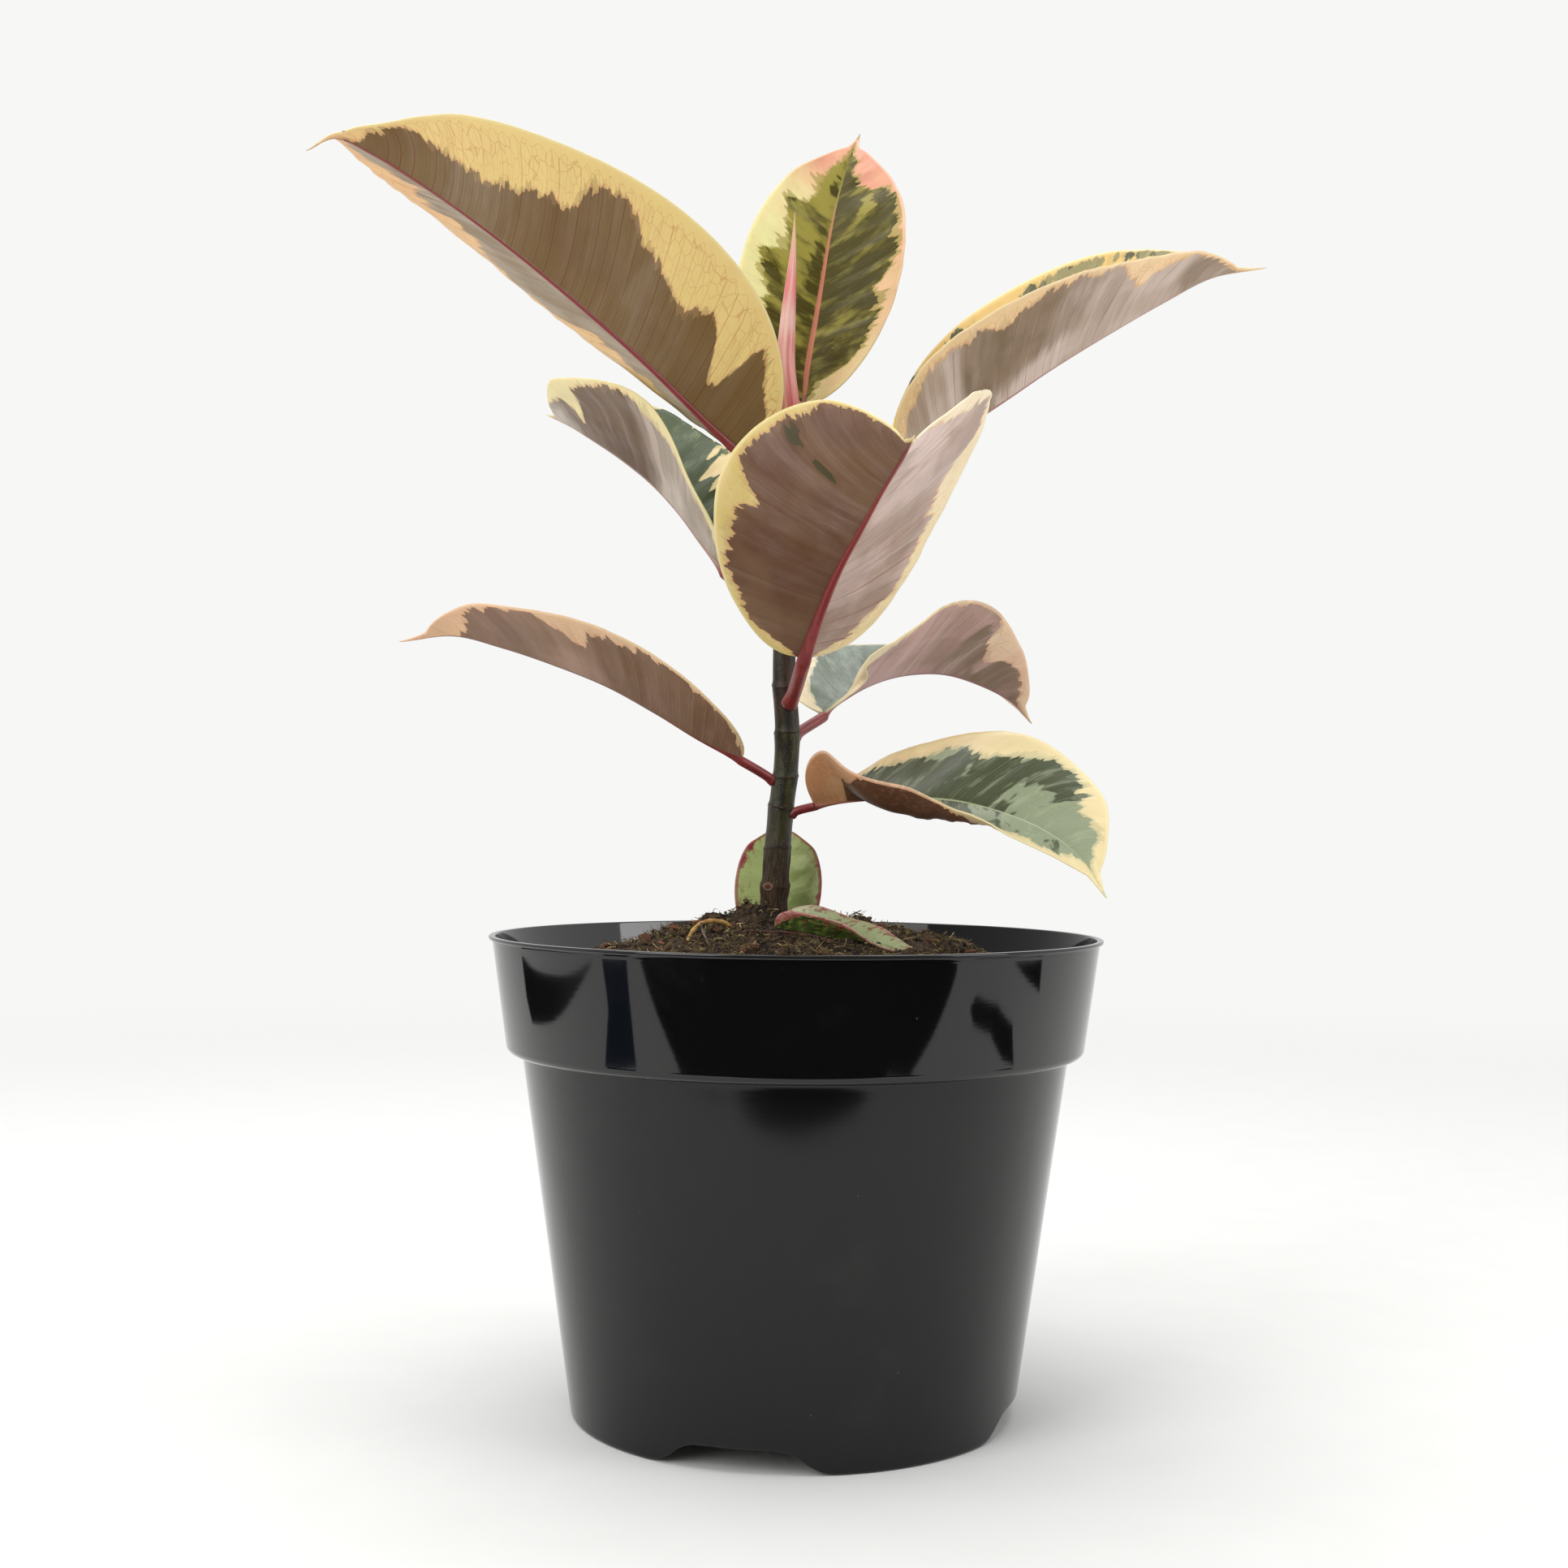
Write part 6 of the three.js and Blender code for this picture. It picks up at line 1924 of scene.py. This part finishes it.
def gather(name, lumps, finish, chance):
    """Many small bodies as one piece, each with its own shade."""
    places, faces, shades = [], [], []
    for lump_places, lump_faces in lumps:
        first = len(places)
        places += lump_places
        faces += [tuple(first + corner for corner in face) for face in lump_faces]
        shades += [chance.random()] * len(lump_places)
    make_piece(name, places, faces, [finish], "soil", {"bit_shade": shades}, smooth=False)


# %% Fibres
FIBRES = 9200
FIBRE_RINGS = 4
FIBRE_SIDES = 3
FIBRE_FLATNESS = 0.7  # thickness over width


def fibre_bodies(count, seed):
    """Where each fibre lies on the mix, which way it runs, and its length, thickness and bend."""
    chance = np.random.default_rng(seed)
    radius = (SOIL_RADIUS - 3) * np.sqrt(chance.random(count))
    turn = chance.random(count) * 2 * np.pi
    x, y = radius * np.cos(turn), radius * np.sin(turn)
    keep = is_clear(x, y)
    x, y = x[keep], y[keep]
    count = len(x)
    middle = np.stack([x, y, soil_height(x, y) + chance.uniform(-0.5, 1.3, count)], -1)
    heading, pitch = chance.uniform(0, 2 * np.pi, count), chance.normal(0, 0.38, count)
    ahead = np.stack([np.cos(heading) * np.cos(pitch), np.sin(heading) * np.cos(pitch), np.sin(pitch)], -1)
    beside = unit(np.cross(ahead, chance.normal(0, 1, (count, 3))))
    length = 1.0 + 4.2 * chance.random(count) ** 3
    thick = 0.07 + 0.17 * chance.random(count) ** 2
    bend = chance.normal(0, 0.22, count) * length
    return middle, ahead, beside, length, thick, bend, chance.random(count)


def fibre_heap(count, seed):
    """Short bent fibres in all directions, as one set of places, faces and shades."""
    middle, ahead, beside, length, thick, bend, shade = fibre_bodies(count, seed)
    over = np.cross(ahead, beside)
    points = []
    for share in np.linspace(-0.5, 0.5, FIBRE_RINGS):
        centre = middle + ahead * (length * share)[:, None] + beside * (bend * (4 * share**2 - 0.5))[:, None]
        size = thick * (1 - 1.1 * share**2 - 0.3 * share)
        for angle in round_angles(FIBRE_SIDES):
            out = (size * math.cos(angle))[:, None] * beside
            points.append(centre + out + (FIBRE_FLATNESS * size * math.sin(angle))[:, None] * over)
    step = FIBRE_RINGS * FIBRE_SIDES
    firsts = np.arange(len(middle))[:, None, None] * step
    faces = (np.array(ring_faces(FIBRE_RINGS, FIBRE_SIDES))[None] + firsts).reshape(-1, 4).tolist()
    ends = np.array([[2, 1, 0], [step - 3, step - 2, step - 1]])
    faces += (ends[None] + firsts).reshape(-1, 3).tolist()
    return np.stack(points, 1).reshape(-1, 3), faces, np.repeat(shade, step)


# %% The whole mix
LUMPS_SEED = 7
FIBRES_SEED = 11


def make_peat():
    places, faces = capped_tube(soil_rings())
    outward = [face[::-1] for face in faces]
    make_piece("peat", places, outward, [make_peat_skin()], "soil")


def make_lumps():
    chance = random.Random(LUMPS_SEED)
    chips = strew(CHIPS, chance, 0.6, 1.5, 0.4, 0.3)
    crumbs = strew(CRUMBS, chance, 0.22, 0.6, 0.15, 0.75)
    finish = make_bits_finish("bark chip", "#1f120b", "#6b452e", "#87583c", 0.85)
    gather("bark_chips", chips, finish, chance)
    finish = make_bits_finish("peat crumb", "#120c07", "#6b553a", "#7d7846", 0.95)
    gather("peat_crumbs", crumbs, finish, chance)


def make_fibres():
    places, faces, shades = fibre_heap(FIBRES, FIBRES_SEED)
    finish = make_bits_finish("fibre", "#2b1e12", "#947e4c", "#cbb583", 0.85)
    make_piece("fibres", places, faces, [finish], "soil", {"bit_shade": shades})


make_peat()
make_lumps()
make_fibres()

# %% [markdown]
# ## Roots on the mix
# An arched yellow root and a dark strand lie on the potting mix, with a grey rootlet and the stub of
# another root in front of them. Each could be a curve with a bevel, but it would be of even thickness.
# So each is a tube along a line of places, which thins towards its end and is a little uneven.

# %% Roots
YELLOW, DARK = ("yellow_root", "surface_root"), ("dark_strand", "strand")  # slot, and node it belongs to
LAID = {  # line and radius in mm, finish with its dark and light colour, slot and node
    "arched_root": (
        [[-15, -9, 126], [-19.5, -13, 130.4], [-25, -15, 130.2], [-28, -17, 127], [-29.5, -18, 121]],
        0.7, ("yellow root", "#9c7030", "#d0ab60"), YELLOW,
    ),
    "thin_strand": (
        [
            [-17, -19, 124.6], [-14, -22, 128.2], [-6, -25, 128.6],
            [3, -26.5, 128], [10, -28, 126.2], [14.5, -29, 123],
        ],
        0.34, ("dark strand", "#2a120d", "#5c2c22"), DARK,
    ),
    "grey_rootlet": (
        [[-25, -18, 130.4], [-24.5, -20, 128.4], [-23, -23, 125.6], [-21, -26, 122]],
        0.3, ("grey_rootlet", "#3b3027", "#8b7c6a"), YELLOW,
    ),
    "root_stub": (
        [[-5, -29, 125.6], [-3.4, -30, 124.6], [-1, -31.5, 123]],
        0.6, ("root_stub", "#b08a45", "#e3cb86"), YELLOW,
    ),
}
LAID_ROWS = 70
LAID_SIDES = 16


def make_root_skin(name, dark, light):
    material, tree, shader = make_material(name)
    grain = clouds(surface(tree), 500.0, 4.0, 0.7)
    skin = mix(ramp(grain, 0.35, 0.65), dark, light)
    dress(shader, Base_Color=skin, Roughness=0.6, Normal=bump(grain, 0.0005))
    return material


def make_laid():
    shares = np.linspace(0, 1, LAID_ROWS)
    uneven = 1 - 0.35 * shares + 0.08 * np.sin(shares * 31) + 0.05 * np.sin(shares * 57 + 1)
    for name, (line, radius, finish, (slot, node)) in LAID.items():
        rings = tube_rings(Line(line).at(shares), radius * uneven, LAID_SIDES)
        places, faces = capped_tube(rings)
        make_piece(name, places, faces, [make_root_skin(*finish)], node)


make_laid()
